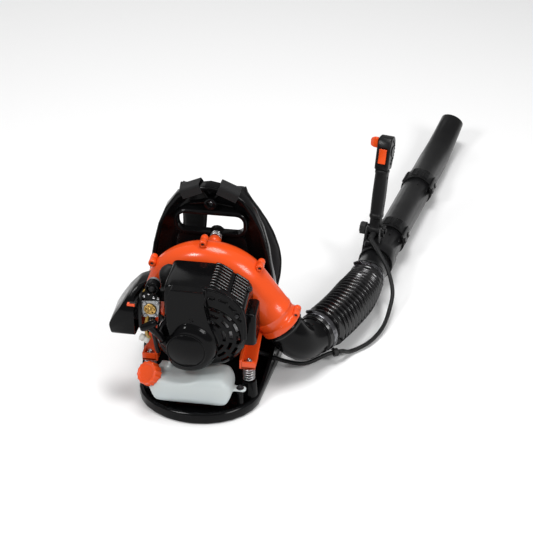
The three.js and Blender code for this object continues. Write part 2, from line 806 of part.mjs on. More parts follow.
piece('spring_top', 'steel', spring(
  V(TOP_SPRING_X, TOP_SPRING_FRONT, TOP_SPRING_Z), V(0, 1, 0), TOP_SPRING_LENGTH, TOP_SPRING_TURNS,
));

// ---------------------------------------------------------------- fan case

const fanPoint = (degrees, radius, y = FAN_Y) => (
  V(FAN_X + radius * Math.cos(rad(degrees)), y, FAN_Z + radius * Math.sin(rad(degrees)))
);
const shaftAt = (y) => V(FAN_X, y, FAN_Z);
const flow = V(Math.sin(rad(VOLUTE_END)), 0, -Math.cos(rad(VOLUTE_END)));
const outward = V(Math.cos(rad(VOLUTE_END)), 0, Math.sin(rad(VOLUTE_END)));
const ductStart = fanPoint(VOLUTE_END, VOLUTE_CORE + DUCT_RADIUS);
const ductEnd = offset(ductStart, flow, DUCT_LENGTH);
const ductAt = (degrees) => {
  const share = Math.min((VOLUTE_START - degrees) / (VOLUTE_START - VOLUTE_END), 1);
  return VOLUTE_START_DUCT + (DUCT_RADIUS - VOLUTE_START_DUCT) * share;
};

// spiral duct with its straight outlet, thinner by the inset
function spiral(inset) {
  const rings = Array.from({ length: VOLUTE_STEPS + 1 }, (_, i) => {
    const angle = VOLUTE_START + ((VOLUTE_END - VOLUTE_START) * i) / VOLUTE_STEPS;
    const duct = ductAt(angle);
    return Array.from({ length: DUCT_SIDES }, (__, j) => {
      const around = (j / DUCT_SIDES) * Math.PI * 2;
      const reach = VOLUTE_CORE + duct + (duct - inset) * Math.cos(around);
      return fanPoint(angle, reach, FAN_Y + (duct - inset) * Math.sin(around));
    });
  });
  const outlet = (distance, rise) => Array.from({ length: DUCT_SIDES }, (_, j) => {
    const around = (j / DUCT_SIDES) * Math.PI * 2;
    const reach = DUCT_RADIUS - inset + rise;
    const centre = offset(ductStart, flow, distance);
    return offset(centre, outward, reach * Math.cos(around)).add(V(0, reach * Math.sin(around), 0));
  });
  if (inset > 0) return loft([...rings, outlet(DUCT_LENGTH + PAST, 0)]);
  const collar = DUCT_LENGTH - COLLAR_LENGTH;
  return loft([
    ...rings, outlet(collar, 0), outlet(collar, COLLAR_RISE), outlet(DUCT_LENGTH, COLLAR_RISE),
  ]);
}

function caseBody(inset) {
  const half = DRUM_HALF - inset;
  return join(
    spiral(inset),
    rod(shaftAt(FAN_Y - half), shaftAt(FAN_Y + half), DRUM_RADIUS - inset, DRUM_SIDES),
  );
}

const caseBosses = [
  ...BOSS_ANGLES.map((degrees) => fanPoint(degrees, VOLUTE_CORE + 2 * ductAt(degrees) + BOSS_RADIUS - 3)),
  offset(offset(ductEnd, flow, -EXIT_BOSS_BACK), outward, DUCT_RADIUS + 3),
];

const bosses = (from, to) => (
  caseBosses.map(({ x, z }) => rod(V(x, from, z), V(x, to, z), BOSS_RADIUS, 10))
);

const bossBores = caseBosses.map((boss) => (
  rod(V(boss.x, FAN_Y - BOSS_FRONT - PAST, boss.z), V(boss.x, FAN_Y + BOSS_BACK + PAST, boss.z), BOSS_HOLE, 8)
));

// angular arm from the case down to its spring
function springArm(x) {
  const side = Math.sign(x);
  const foot = SPRING_BOTTOM + SPRING_HEIGHT + GAP;
  const root = DRUM_FACE + 12;
  const front = SPRING_Y - ARM_HALF + 2;
  const back = SPRING_Y + ARM_HALF;
  const web = polygon([
    [front, foot], [back, foot], [root, foot + 26], [root, foot + ARM_REACH + 26], [root - 26, foot + 46],
    [back - 8, foot + 30], [front, foot + 22],
  ]);
  const shelf = polygon([
    [front, foot], [back, foot], [root, foot + 26], [root, foot + 26 + ARM_WALL], [back, foot + ARM_WALL],
    [front, foot + ARM_WALL],
  ]);
  const inside = x - side * ARM_HALF;
  const [low, high] = [side * 60, x + side * ARM_HALF].sort((a, b) => a - b);
  return cut(
    join(
      sidePrism(web, inside - ARM_WALL / 2, inside + ARM_WALL / 2),
      sidePrism(shelf, x - ARM_HALF, x + ARM_HALF),
      block(V(x - ARM_HALF, front, foot), V(x + ARM_HALF, back, foot + 18)),
      block(V(low, DRUM_FACE + 2, foot + 29), V(high, root, foot + ARM_REACH + 26)),
    ),
    block(V(x - ARM_HALF + 5, front + 4, foot + ARM_WALL), V(x + ARM_HALF + PAST, back + PAST, foot + 40)),
    rod(V(x, SPRING_Y, foot - PAST), V(x, SPRING_Y, foot + PAST + ARM_WALL), BOSS_HOLE + 1, 8),
  );
}

const caseHalf = (bossFrom, bossTo, low, high) => (
  cut(join(caseBody(0), bosses(bossFrom, bossTo)), caseBody(CASE_WALL))
    .intersect(block(V(-400, low, -100), V(400, high, 600)))
);

function fanCaseFront() {
  const flange = sleeve(
    CRANKCASE_RADIUS - 6, CRANKCASE_RADIUS + 8, shaftAt(DRUM_FACE - CASE_FLANGE), shaftAt(DRUM_FACE + 1),
  );
  const arms = SPRING_X.map((x) => cut(springArm(x), caseBody(CASE_WALL / 2)));
  return cut(
    join(caseHalf(FAN_Y - BOSS_FRONT, FAN_Y, -400, FAN_Y - GAP / 2), flange, arms),
    rod(shaftAt(DRUM_FACE - PAST), shaftAt(FAN_Y), SHAFT_RADIUS + 2, SHAFT_SIDES),
    bossBores,
  );
}

function fanCaseBack() {
  const drumBack = FAN_Y + DRUM_HALF;
  const lip = sleeve(
    INLET_RADIUS, INLET_RADIUS + INLET_LIP, shaftAt(drumBack - 1), shaftAt(drumBack + CASE_FLANGE),
  );
  const springBoss = cut(
    rod(
      V(TOP_SPRING_X, FAN_Y + 20, TOP_SPRING_Z), V(TOP_SPRING_X, TOP_SPRING_FRONT - GAP, TOP_SPRING_Z),
      SPRING_OUTER + 1, 14,
    ),
    caseBody(CASE_WALL / 2),
  );
  return cut(
    join(caseHalf(FAN_Y, FAN_Y + BOSS_BACK, FAN_Y + GAP / 2, 400), lip, springBoss),
    rod(shaftAt(FAN_Y), shaftAt(drumBack + 2 * PAST), INLET_RADIUS, 24),
    bossBores,
  );
}
piece('fan_case_front', 'orange', fanCaseFront());
piece('fan_case_back', 'orange', fanCaseBack());

function inletGrille() {
  const back = FAN_Y + DRUM_HALF;
  const outer = INLET_RADIUS + 12;
  const plate = circleShape(FAN_X, FAN_Z, outer - 1, 18);
  const step = 360 / INLET_SLOTS;
  for (const radius of INLET_RINGS) {
    const half = step / 2 - 200 / radius;
    for (let i = 0; i < INLET_SLOTS; i++) {
      plate.holes.push(arcSlot(FAN_X, FAN_Z, radius, INLET_SLOT_WIDTH, i * step - half, i * step + half));
    }
  }
  const lipOuter = bored(INLET_RADIUS + INLET_LIP, 18);
  return join(
    frontPrism(plate, back + CASE_FLANGE + GAP, back + CASE_FLANGE + 3 + GAP, { segments: 2 }),
    sleeve(lipOuter, outer - 1, shaftAt(back + GAP), shaftAt(back + CASE_FLANGE + 1), 18),
  );
}
piece('inlet_grille', 'satin', inletGrille());

// ---------------------------------------------------------------- turning pieces on the crankshaft

function crankshaft() {
  const nutBack = IMPELLER_FRONT + 22;
  return join(
    rod(
      shaftAt(FLYWHEEL_FRONT - NUT_HEIGHT - 2), shaftAt(nutBack + NUT_HEIGHT + 2), SHAFT_RADIUS,
      SHAFT_SIDES,
    ),
    rod(shaftAt(FLYWHEEL_FRONT + 2 - NUT_HEIGHT), shaftAt(FLYWHEEL_FRONT + 2 - GAP), NUT_RADIUS, 6),
    rod(shaftAt(nutBack + GAP), shaftAt(nutBack + NUT_HEIGHT), NUT_RADIUS, 6),
  );
}
piece('crankshaft', 'steel', crankshaft());

function impeller() {
  const curl = IMPELLER_RADIUS * 0.55;
  const vane = new THREE.Shape();
  vane.absarc(0, 0, curl, rad(-2), rad(-78), true);
  vane.absarc(0, 0, curl + IMPELLER_VANE_WALL, rad(-78), rad(-2), false);
  vane.closePath();
  const back = IMPELLER_FRONT + 2 + IMPELLER_VANE_HEIGHT;
  const blade = frontPrism(vane, IMPELLER_FRONT + 2, back, { segments: 2 })
    .translate([IMPELLER_RADIUS * 0.42, 0, IMPELLER_RADIUS * 0.44]);
  const vanes = Array.from({ length: IMPELLER_VANES }, (_, i) => (
    blade.rotate([0, (i * 360) / IMPELLER_VANES, 0]).translate([FAN_X, 0, FAN_Z])
  ));
  const wheel = join(
    rod(shaftAt(IMPELLER_FRONT), shaftAt(IMPELLER_FRONT + 3), IMPELLER_RADIUS, 20),
    rod(shaftAt(IMPELLER_FRONT + 1), shaftAt(IMPELLER_FRONT + 22), 14, 14, 12),
    vanes,
  );
  return cut(
    wheel.intersect(rod(shaftAt(IMPELLER_FRONT - PAST), shaftAt(back + PAST), IMPELLER_RADIUS, 20)),
    rod(shaftAt(IMPELLER_FRONT - PAST), shaftAt(back + PAST), SHAFT_RADIUS + PLAY, SHAFT_SIDES),
  );
}
piece('impeller', 'satin', impeller());

function flywheel() {
  const bore = SHAFT_RADIUS + PLAY;
  const disc = revolve([
    [bore, 2], [18, 2], [18, 0], [FLYWHEEL_RADIUS, 0], [FLYWHEEL_RADIUS, FLYWHEEL_WIDTH],
    [bore, FLYWHEEL_WIDTH], [bore, 2],
  ], shaftAt(FLYWHEEL_FRONT), V(0, 1, 0), 20);
  const vane = block(
    V(FLYWHEEL_RADIUS - 22, FLYWHEEL_FRONT - 5, -1), V(FLYWHEEL_RADIUS - 2, FLYWHEEL_FRONT + 1, 1),
  );
  const vanes = Array.from({ length: FLYWHEEL_VANES }, (_, i) => (
    vane.rotate([0, (i * 360) / FLYWHEEL_VANES + 6, 0]).translate([FAN_X, 0, FAN_Z])
  ));
  return join(disc, vanes);
}
piece('flywheel', 'aluminium', flywheel());

// ---------------------------------------------------------------- engine

function crankcase() {
  const length = DRUM_FACE - CASE_FLANGE - GAP - CASE_FRONT;
  const nose = CRANKCASE_RADIUS - 4;
  const body = revolve([
    [0, 0], [nose - 6, 0], [nose, 6], [nose, 22], [CRANKCASE_RADIUS, 24], [CRANKCASE_RADIUS, length],
    [0, length],
  ], shaftAt(CASE_FRONT), V(0, 1, 0), 24);
  const tower = block(
    V(FAN_X - 30, CYLINDER_Y - 22, FAN_Z), V(FAN_X + 30, CYLINDER_Y + 22, CYLINDER_FOOT - GAP),
  );
  const bore = rod(
    shaftAt(CASE_FRONT - PAST), shaftAt(CASE_FRONT + length + PAST), SHAFT_RADIUS + PLAY, SHAFT_SIDES,
  );
  const deck = block(V(-100, -100, CYLINDER_FOOT - GAP), V(100, 100, CYLINDER_FOOT + 60));
  return cut(join(body, tower), bore, deck);
}
piece('crankcase', 'aluminium', crankcase());

function cylinder() {
  const at = (z, x = 0) => V(FAN_X + x, CYLINDER_Y, z);
  const first = CYLINDER_FOOT + 12;
  const fins = Array.from({ length: FIN_COUNT }, (_, i) => {
    const z = first + i * FIN_PITCH;
    return planPrism(
      roundedRect(FAN_X, CYLINDER_Y, FIN_WIDTH, FIN_DEPTH, 12), z, z + FIN_WALL, { segments: 1 },
    );
  });
  const foot = planPrism(
    roundedRect(FAN_X, CYLINDER_Y, 58, 42, 8), CYLINDER_FOOT, CYLINDER_FOOT + 5, { segments: 1 },
  );
  return join(
    rod(at(CYLINDER_FOOT), at(first + (FIN_COUNT - 1) * FIN_PITCH + FIN_WALL + 1), CYLINDER_RADIUS, 10),
    foot, fins,
    rod(at(PORT_Z), at(PORT_Z, -FIN_WIDTH / 2 - 2), 11.6, 8),
    rod(at(CYLINDER_FOOT + 16), at(CYLINDER_FOOT + 16, FIN_WIDTH / 2 + PORT_LENGTH), 10.6, 8),
  );
}
piece('cylinder', 'aluminium', cylinder());

function coverOutline(inset) {
  const bottom = COVER_BOTTOM - (inset > 0 ? PAST : 0);
  return roundedPolygon([
    [COVER_LEFT + inset, bottom], [COVER_RIGHT + 3 - inset, bottom],
    [COVER_RIGHT - inset, COVER_RIGHT_Z - inset, 8], [COVER_BREAK, COVER_TOP - inset, 16],
    [COVER_LEFT + inset, COVER_TOP - inset, 14],
  ]);
}

function roofSlots() {
  const middle = (COVER_BREAK + COVER_RIGHT) / 2 - 4;
  const columns = [[COVER_BREAK - 6, middle - LOUVRE_BAR / 2], [middle + LOUVRE_BAR / 2, COVER_RIGHT - 10]];
  return columns.flatMap(([left, right]) => Array.from({ length: LOUVRE_ROWS }, (_, i) => {
    const y = COVER_BACK - 10 - i * LOUVRE_PITCH;
    return block(
      V(left, y - LOUVRE_WIDTH / 2, COVER_BOTTOM + 8), V(right, y + LOUVRE_WIDTH / 2, COVER_TOP + PAST),
    );
  }));
}

// where a front boss of the starter sits on the crankcase, as places in the plane of its seam
const starterBossFeet = [-64, -88].map((degrees) => fanPoint(degrees, STARTER_RADIUS + 4));
const starterBossCorner = V(
  GRILLE_X + (GRILLE_RADIUS + 2) * Math.cos(rad(40)), 0, GRILLE_Z + (GRILLE_RADIUS + 2) * Math.sin(rad(40)),
);

function cylinderCover() {
  const bottom = COVER_BOTTOM - PAST;
  const front = COVER_FRONT - PAST;
  const back = STARTER_BACK + GAP;
  const starterSpace = [
    rod(
      V(GRILLE_X, front, GRILLE_Z), V(GRILLE_X, back, GRILLE_Z), bored(GRILLE_RADIUS, GRILLE_SIDES),
      GRILLE_SIDES,
    ),
    rod(shaftAt(front), shaftAt(back), bored(STARTER_RADIUS, GRILLE_SIDES), GRILLE_SIDES),
    rod(
      V(starterBossCorner.x, front, starterBossCorner.z), V(starterBossCorner.x, back, starterBossCorner.z),
      bored(STARTER_BOSS, 10), 10,
    ),
  ];
  return cut(
    frontPrism(coverOutline(0), COVER_FRONT, COVER_BACK, { segments: 4, bevel: 3 }),
    frontPrism(coverOutline(COVER_WALL), COVER_FRONT + COVER_WALL, COVER_BACK + PAST, { segments: 4 }),
    roofSlots(),
    block(V(COVER_LEFT - PAST, -45, bottom), V(COVER_LEFT + PAST, COVER_BACK + PAST, CARB_TOP + 22)),
    rod(V(COVER_LEFT + 14, PLUG_Y, PLUG_Z), V(COVER_LEFT - 10, PLUG_Y, PLUG_Z), PLUG_HOLE, 12),
    starterSpace,
  );
}
piece('cylinder_cover', 'satin', cylinderCover());

function sparkPlug() {
  const boot = V(COVER_LEFT + 2, PLUG_Y, PLUG_Z);
  const tip = V(FAN_X - FIN_WIDTH / 2 - 3 * GAP, PLUG_Y - 6, PLUG_Z - 8);
  return join(
    revolve([[0, 0], [10, 0], [11.5, 3], [11.5, 9], [8, 14], [0, 14]], boot, V(-1, -0.25, 0.3), 14),
    rod(offset(boot, V(-4, 0, 2), 1), tip, 6, 12),
  );
}
piece('spark_plug', 'rubber', sparkPlug());

const mufflerLeft = FAN_X + FIN_WIDTH / 2 + PORT_LENGTH + GAP;
function muffler() {
  const width = MUFFLER_RIGHT - mufflerLeft;
  const shape = roundedRect(mufflerLeft + width / 2, MUFFLER_Z, width, MUFFLER_HEIGHT, 10);
  const outlet = V(MUFFLER_RIGHT - 10, -30, MUFFLER_Z + MUFFLER_HEIGHT / 2);
  return cut(
    frontPrism(shape, -52, -6, { segments: 2, bevel: 4 }),
    rod(offset(outlet, V(0, 0, 1), -20), offset(outlet, V(0, 0, 1), PAST), 6, 10),
  );
}
piece('muffler', 'steel', muffler());

function mufflerGuard() {
  const left = MUFFLER_RIGHT + GAP;
  const width = GUARD_RIGHT - left;
  const depth = GUARD_BACK - GUARD_FRONT;
  const outline = roundedRect(left + width / 2, GUARD_FRONT + depth / 2, width, depth, 9);
  const pitch = (GUARD_TOP - GUARD_BOTTOM - 20) / GUARD_SLOTS;
  const slots = Array.from({ length: GUARD_SLOTS }, (_, i) => {
    const z = GUARD_BOTTOM + 12 + i * pitch;
    return block(V(GUARD_RIGHT - 10, GUARD_FRONT + 14, z), V(GUARD_RIGHT + PAST, GUARD_BACK - 14, z + 5));
  });
  return cut(
    planPrism(outline, GUARD_BOTTOM, GUARD_TOP, { bevel: 3, segments: 2 }),
    block(
      V(left + GUARD_WALL, GUARD_FRONT + GUARD_WALL, GUARD_BOTTOM + GUARD_WALL),
      V(GUARD_RIGHT - GUARD_WALL, GUARD_BACK - GUARD_WALL, GUARD_TOP - GUARD_WALL),
    ),
    block(
      V(left - PAST, GUARD_FRONT + GUARD_FRAME, GUARD_BOTTOM + GUARD_FRAME),
      V(left + GUARD_WALL + 1, GUARD_BACK - GUARD_FRAME, GUARD_TOP - GUARD_FRAME),
    ),
    slots,
  );
}
piece('muffler_guard', 'satin', mufflerGuard());

// ---------------------------------------------------------------- recoil starter

// domed grille and round drum, thinner by the inset
function starterForm(inset) {
  const back = STARTER_BACK + (inset > 0 ? PAST : 0);
  const depth = back - DRUM_FRONT - inset;
  const edge = GRILLE_RADIUS - inset;
  const dome = revolve([
    [0, 0], [edge, 0], [edge, depth - 18], [edge - 12, depth - 7], [0, depth - 1],
  ], V(GRILLE_X, back, GRILLE_Z), V(0, -1, 0), GRILLE_SIDES);
  const drumEdge = STARTER_RADIUS - inset;
  const drum = revolve([
    [0, 0], [drumEdge, 0], [drumEdge, depth - 8], [drumEdge - 6, depth], [0, depth],
  ], shaftAt(back), V(0, -1, 0), GRILLE_SIDES);
  return join(dome, drum);
}

function starterColumn() {
  return roundedPolygon([
    [FAN_X - COLUMN_HALF + 3, CAP_Z, 6], [FAN_X + COLUMN_HALF + 10, CAP_Z, 6],
    [FAN_X + COLUMN_HALF - 2, CAP_Z + 64, 24], [FAN_X + COLUMN_HALF, COLUMN_TOP, 6],
    [FAN_X - COLUMN_HALF, COLUMN_TOP, 6], [FAN_X - COLUMN_HALF, CAP_Z + 60, 24],
  ]);
}

function grilleSlots() {
  return SLOT_RINGS.flatMap(([radius, count]) => {
    const step = (SLOT_LAST - SLOT_FIRST) / count;
    const span = step - 500 / radius;
    return Array.from({ length: count }, (_, i) => {
      const start = SLOT_FIRST + i * step;
      const slot = arcSlot(GRILLE_X, GRILLE_Z, radius, SLOT_RING_WIDTH, start, start + span);
      return frontPrism(slot, DRUM_FRONT - PAST, STARTER_BACK - PAST, { segments: 1 });
    });
  });
}

const starterBosses = () => [...starterBossFeet, starterBossCorner].map(({ x, z }) => (
  rod(V(x, STARTER_BACK - 26, z), V(x, STARTER_BACK, z), STARTER_BOSS, 10)
));

function starterHousing() {
  const depth = CAP_BACK - CAP_FRONT;
  const cap = revolve([
    [0, 0], [CAP_RADIUS + 4, 0], [CAP_RADIUS + 3, depth - 8], [CAP_RADIUS, depth - 6],
    [CAP_RADIUS - 1, depth],
    [0, depth],
  ], V(CAP_X, CAP_BACK, CAP_Z), V(0, -1, 0));
  const skin = join(
    starterForm(0), starterBosses(), cap,
    frontPrism(starterColumn(), COLUMN_FRONT, COVER_FRONT - GAP, { bevel: 3, segments: 3 }),
  );
  const guide = rod(offset(ROPE_EXIT, PULL, -16), ROPE_EXIT, GUIDE_RADIUS + 1.5, 12, GUIDE_RADIUS);
  const post = rod(shaftAt(DRUM_FRONT), shaftAt(PULLEY_BACK), POST_RADIUS, 12);
  return cut(
    join(
      cut(skin, cut(starterForm(STARTER_WALL), post), grilleSlots()),
      cut(guide, starterForm(STARTER_WALL)),
    ),
    rod(offset(ROPE_EXIT, PULL, -10), offset(ROPE_EXIT, PULL, 1), ROPE_RADIUS + 1, 8),
  );
}
piece('starter_housing', 'black', starterHousing());

function recoilPulley() {
  const bore = bored(POST_RADIUS, 16);
  const bottom = PULLEY_RADIUS - PULLEY_GROOVE;
  return revolve([
    [bore, 0], [PULLEY_RADIUS, 0], [PULLEY_RADIUS, 2], [bottom, 4], [bottom, PULLEY_WIDTH - 4],
    [PULLEY_RADIUS, PULLEY_WIDTH - 2], [PULLEY_RADIUS, PULLEY_WIDTH], [bore, PULLEY_WIDTH], [bore, 0],
  ], shaftAt(PULLEY_FRONT), V(0, 1, 0), 16);
}
piece('recoil_pulley', 'satin', recoilPulley());

const gripFoot = offset(ROPE_EXIT, PULL, GAP);
function starterGrip() {
  const across = V(PULL.z, 0, -PULL.x).normalize();
  const centre = offset(gripFoot, PULL, GRIP_STEM + GRIP_RADIUS);
  const bar = new THREE.CapsuleGeometry(GRIP_RADIUS, GRIP_BAR - 2 * GRIP_RADIUS, 2, 12);
  const stem = revolve([
    [0, 0], [6, 0], [7, 3], [7, GRIP_STEM * 0.6], [8, GRIP_STEM + 4], [0, GRIP_STEM + 4],
  ], gripFoot, PULL, 12);
  return cut(
    join(toSolid(place(bar, centre, across)), stem),
    rod(offset(gripFoot, PULL, -1), offset(gripFoot, PULL, 8), bored(ROPE_RADIUS, 8), 8),
  );
}
piece('starter_grip', 'black', starterGrip());
piece(
  'starter_rope', 'cloth',
  rod(offset(ROPE_EXIT, PULL, -8), offset(gripFoot, PULL, 8 - GAP), ROPE_RADIUS, 7),
);

// ---------------------------------------------------------------- carburettor and air cleaner

function insulator() {
  const shape = roundedRect(CYLINDER_Y, PORT_Z, 34, 30, 6);
  return sidePrism(shape, CARB_RIGHT + GAP, FAN_X - FIN_WIDTH / 2 - 2 - GAP, { segments: 1 });
}
piece('insulator', 'rubber', insulator());

function carburettor() {
  const midX = (CARB_LEFT + CARB_RIGHT) / 2;
  const midY = (CARB_FRONT + CARB_BACK) / 2;
  const shape = roundedRect(midX, midY, CARB_RIGHT - CARB_LEFT, CARB_BACK - CARB_FRONT, 4);
  const primerAt = (y) => V(PRIMER_X, y, PRIMER_Z);
  const throttleAt = (z) => V(THROTTLE_X, THROTTLE_Y, z);
  return cut(
    join(
      planPrism(shape, CARB_BOTTOM, CARB_TOP, { bevel: 2, segments: 1 }),
      rod(V(midX, CARB_FRONT - 4, CARB_BOTTOM + 22), V(midX, CARB_FRONT + 1, CARB_BOTTOM + 22), 14, 14),
      block(V(midX - 4, CARB_FRONT + 8, CARB_TOP - 2), V(PRIMER_X + 7, CARB_FRONT + 22, PRIMER_Z)),
      rod(primerAt(CARB_FRONT + 4), primerAt(CARB_FRONT + 22), PRIMER_RADIUS + 3, 14),
      rod(throttleAt(CARB_BOTTOM - 4), throttleAt(CARB_BOTTOM + 4), 5, 10),
    ),
    rod(throttleAt(CARB_BOTTOM - 9), throttleAt(CARB_BOTTOM + 6), bored(THROTTLE_PIN, 8), 8),
    rod(primerAt(CARB_FRONT + 2), primerAt(CARB_FRONT + 8 + PRIMER_TRAVEL), bored(PRIMER_RADIUS - 2, 12), 12),
  );
}
piece('carburettor', 'aluminium', carburettor());

function purgeBulb() {
  return revolve([
    [0, -4], [PRIMER_RADIUS - 2, -4], [PRIMER_RADIUS - 2, 4], [PRIMER_RADIUS - 3, 8],
    [PRIMER_RADIUS - 6, 10.5], [0, 11.5],
  ], V(PRIMER_X, CARB_FRONT + 4, PRIMER_Z), V(0, -1, 0), 12);
}
piece('purge_bulb', 'rubber', purgeBulb());

function throttleLever() {
  const top = CARB_BOTTOM - 4 - GAP;
  const shape = roundedPolygon([
    [THROTTLE_X - 6, THROTTLE_Y - 6, 3], [THROTTLE_X - 4, THROTTLE_Y - 22, 3],
    [THROTTLE_X + 6, THROTTLE_Y - 22, 3],
    [THROTTLE_X + 8, THROTTLE_Y + 6, 4], [THROTTLE_X - 6, THROTTLE_Y + 6, 4],
  ]);
  return join(
    planPrism(shape, top - 3, top, { segments: 2 }),
    rod(V(THROTTLE_X, THROTTLE_Y, top - 1), V(THROTTLE_X, THROTTLE_Y, CARB_BOTTOM + 5), THROTTLE_PIN, 8),
    rod(V(THROTTLE_X + 1, THROTTLE_Y - 17, top - 8), V(THROTTLE_X + 1, THROTTLE_Y - 17, top - 1), 3, 8),
  );
}
piece('throttle_lever', 'steel', throttleLever());

// outline of the air cleaner seen from the engine side, drawn as (x, z)
function cleanerOutline(inset, open) {
  return roundedPolygon([
    [open, CLEANER_BOTTOM + 4 + inset], [open, CLEANER_TOP - 30 - inset],
    [open + 22, CLEANER_TOP - 7 - inset],
    [open + 2, CLEANER_TOP - 16 - inset, 5], [-147, CLEANER_TOP - 40 - inset, 8],
    [CLEANER_LEFT + 14 + inset, CLEANER_BOTTOM + 64, 10], [CLEANER_LEFT + inset, CLEANER_BOTTOM + 39, 8],
    [CLEANER_LEFT + 5 + inset, CLEANER_BOTTOM + 14 + inset, 8],
    [CLEANER_LEFT + 25, CLEANER_BOTTOM + 4 + inset, 4],
  ]);
}

// outline of the air cleaner seen from its side, drawn as (y, z)
function cleanerSide(inset) {
  return roundedPolygon([
    [CLEANER_FRONT + inset, CLEANER_BOTTOM + 14 + inset, 8],
    [CLEANER_BACK - inset, CLEANER_BOTTOM + inset, 8],
    [CLEANER_BACK - inset, CLEANER_TOP - inset, 8], [-34, CLEANER_TOP - inset, 10],
    [-62, CLEANER_TOP - 22 - inset, 12], [CLEANER_FRONT + inset, CLEANER_TOP - 56, 12],
  ]);
}

function airCleanerCover() {
  const shell = (inset, open) => frontPrism(
    cleanerOutline(inset, open), CLEANER_FRONT + inset, CLEANER_BACK - inset, { segments: 3 },
  )
    .intersect(sidePrism(cleanerSide(inset), -200, 0, { segments: 3 }));
  return cut(shell(0, CLEANER_OPEN), shell(CLEANER_WALL, CLEANER_OPEN + PAST));
}
piece('air_cleaner_cover', 'satin', airCleanerCover());

function airFilterBase() {
  const left = FILTER_PLATE_RIGHT - FILTER_PLATE_WALL;
  const shape = roundedPolygon([
    [CLEANER_FRONT + 10, CLEANER_BOTTOM + 22, 8], [CLEANER_BACK - 6, CLEANER_BOTTOM + 12, 8],
    [CLEANER_BACK - 6, CLEANER_TOP - 20, 8], [-40, CLEANER_TOP - 20, 8], [-66, CLEANER_TOP - 38, 8],
    [CLEANER_FRONT + 10, CLEANER_TOP - 62, 8],
  ]);
  const throatAt = (x) => V(x, CYLINDER_Y, PORT_Z - 14);
  return cut(
    join(
      sidePrism(shape, left, FILTER_PLATE_RIGHT, { segments: 1 }),
      rod(throatAt(left + 1), throatAt(CARB_LEFT - GAP), 13, 12),
    ),
    rod(throatAt(left - 1), throatAt(CARB_LEFT + 1), 9, 12),
    rod(V(left - 1, CHOKE_Y, CHOKE_Z), V(FILTER_PLATE_RIGHT + 1, CHOKE_Y, CHOKE_Z), bored(CHOKE_PIN, 8), 8),
  );
}
piece('air_filter_base', 'satin', airFilterBase());

function airFilter() {
  const right = FILTER_PLATE_RIGHT - FILTER_PLATE_WALL - GAP;
  const shape = roundedPolygon([
    [-46, CLEANER_BOTTOM + 22, 8], [CLEANER_BACK - 12, CLEANER_BOTTOM + 22, 8],
    [CLEANER_BACK - 12, CLEANER_TOP - 50, 8], [-46, CLEANER_TOP - 52, 8],
  ]);
  return sidePrism(shape, right - 24, right, { segments: 1 });
}
piece('air_filter', 'foam', airFilter());

function chokeLever() {
  const right = FILTER_PLATE_RIGHT - FILTER_PLATE_WALL - GAP;
  const left = right - CHOKE_WALL;
  const tabFront = CLEANER_FRONT - 10;
  const tabBack = CLEANER_FRONT - 3;
  const arm = roundedPolygon([
    [CHOKE_Y + 6, CHOKE_Z - 6, 4], [CHOKE_Y + 6, CHOKE_Z + 6, 4], [tabBack, CHOKE_Z + 13, 2],
    [tabFront, CHOKE_Z + 13, 2], [tabFront, CHOKE_Z + 5, 2], [tabBack, CHOKE_Z + 5, 2],
  ]);
  return join(
    sidePrism(arm, left, right, { segments: 1 }),
    rod(V(left + 1, CHOKE_Y, CHOKE_Z), V(FILTER_PLATE_RIGHT, CHOKE_Y, CHOKE_Z), CHOKE_PIN, 8),
    block(V(left - 9, tabFront, CHOKE_Z + 6), V(left + 5, tabBack, CHOKE_Z + 12)),
  );
}
piece('choke_lever', 'orange', chokeLever());

// ---------------------------------------------------------------- fuel tank

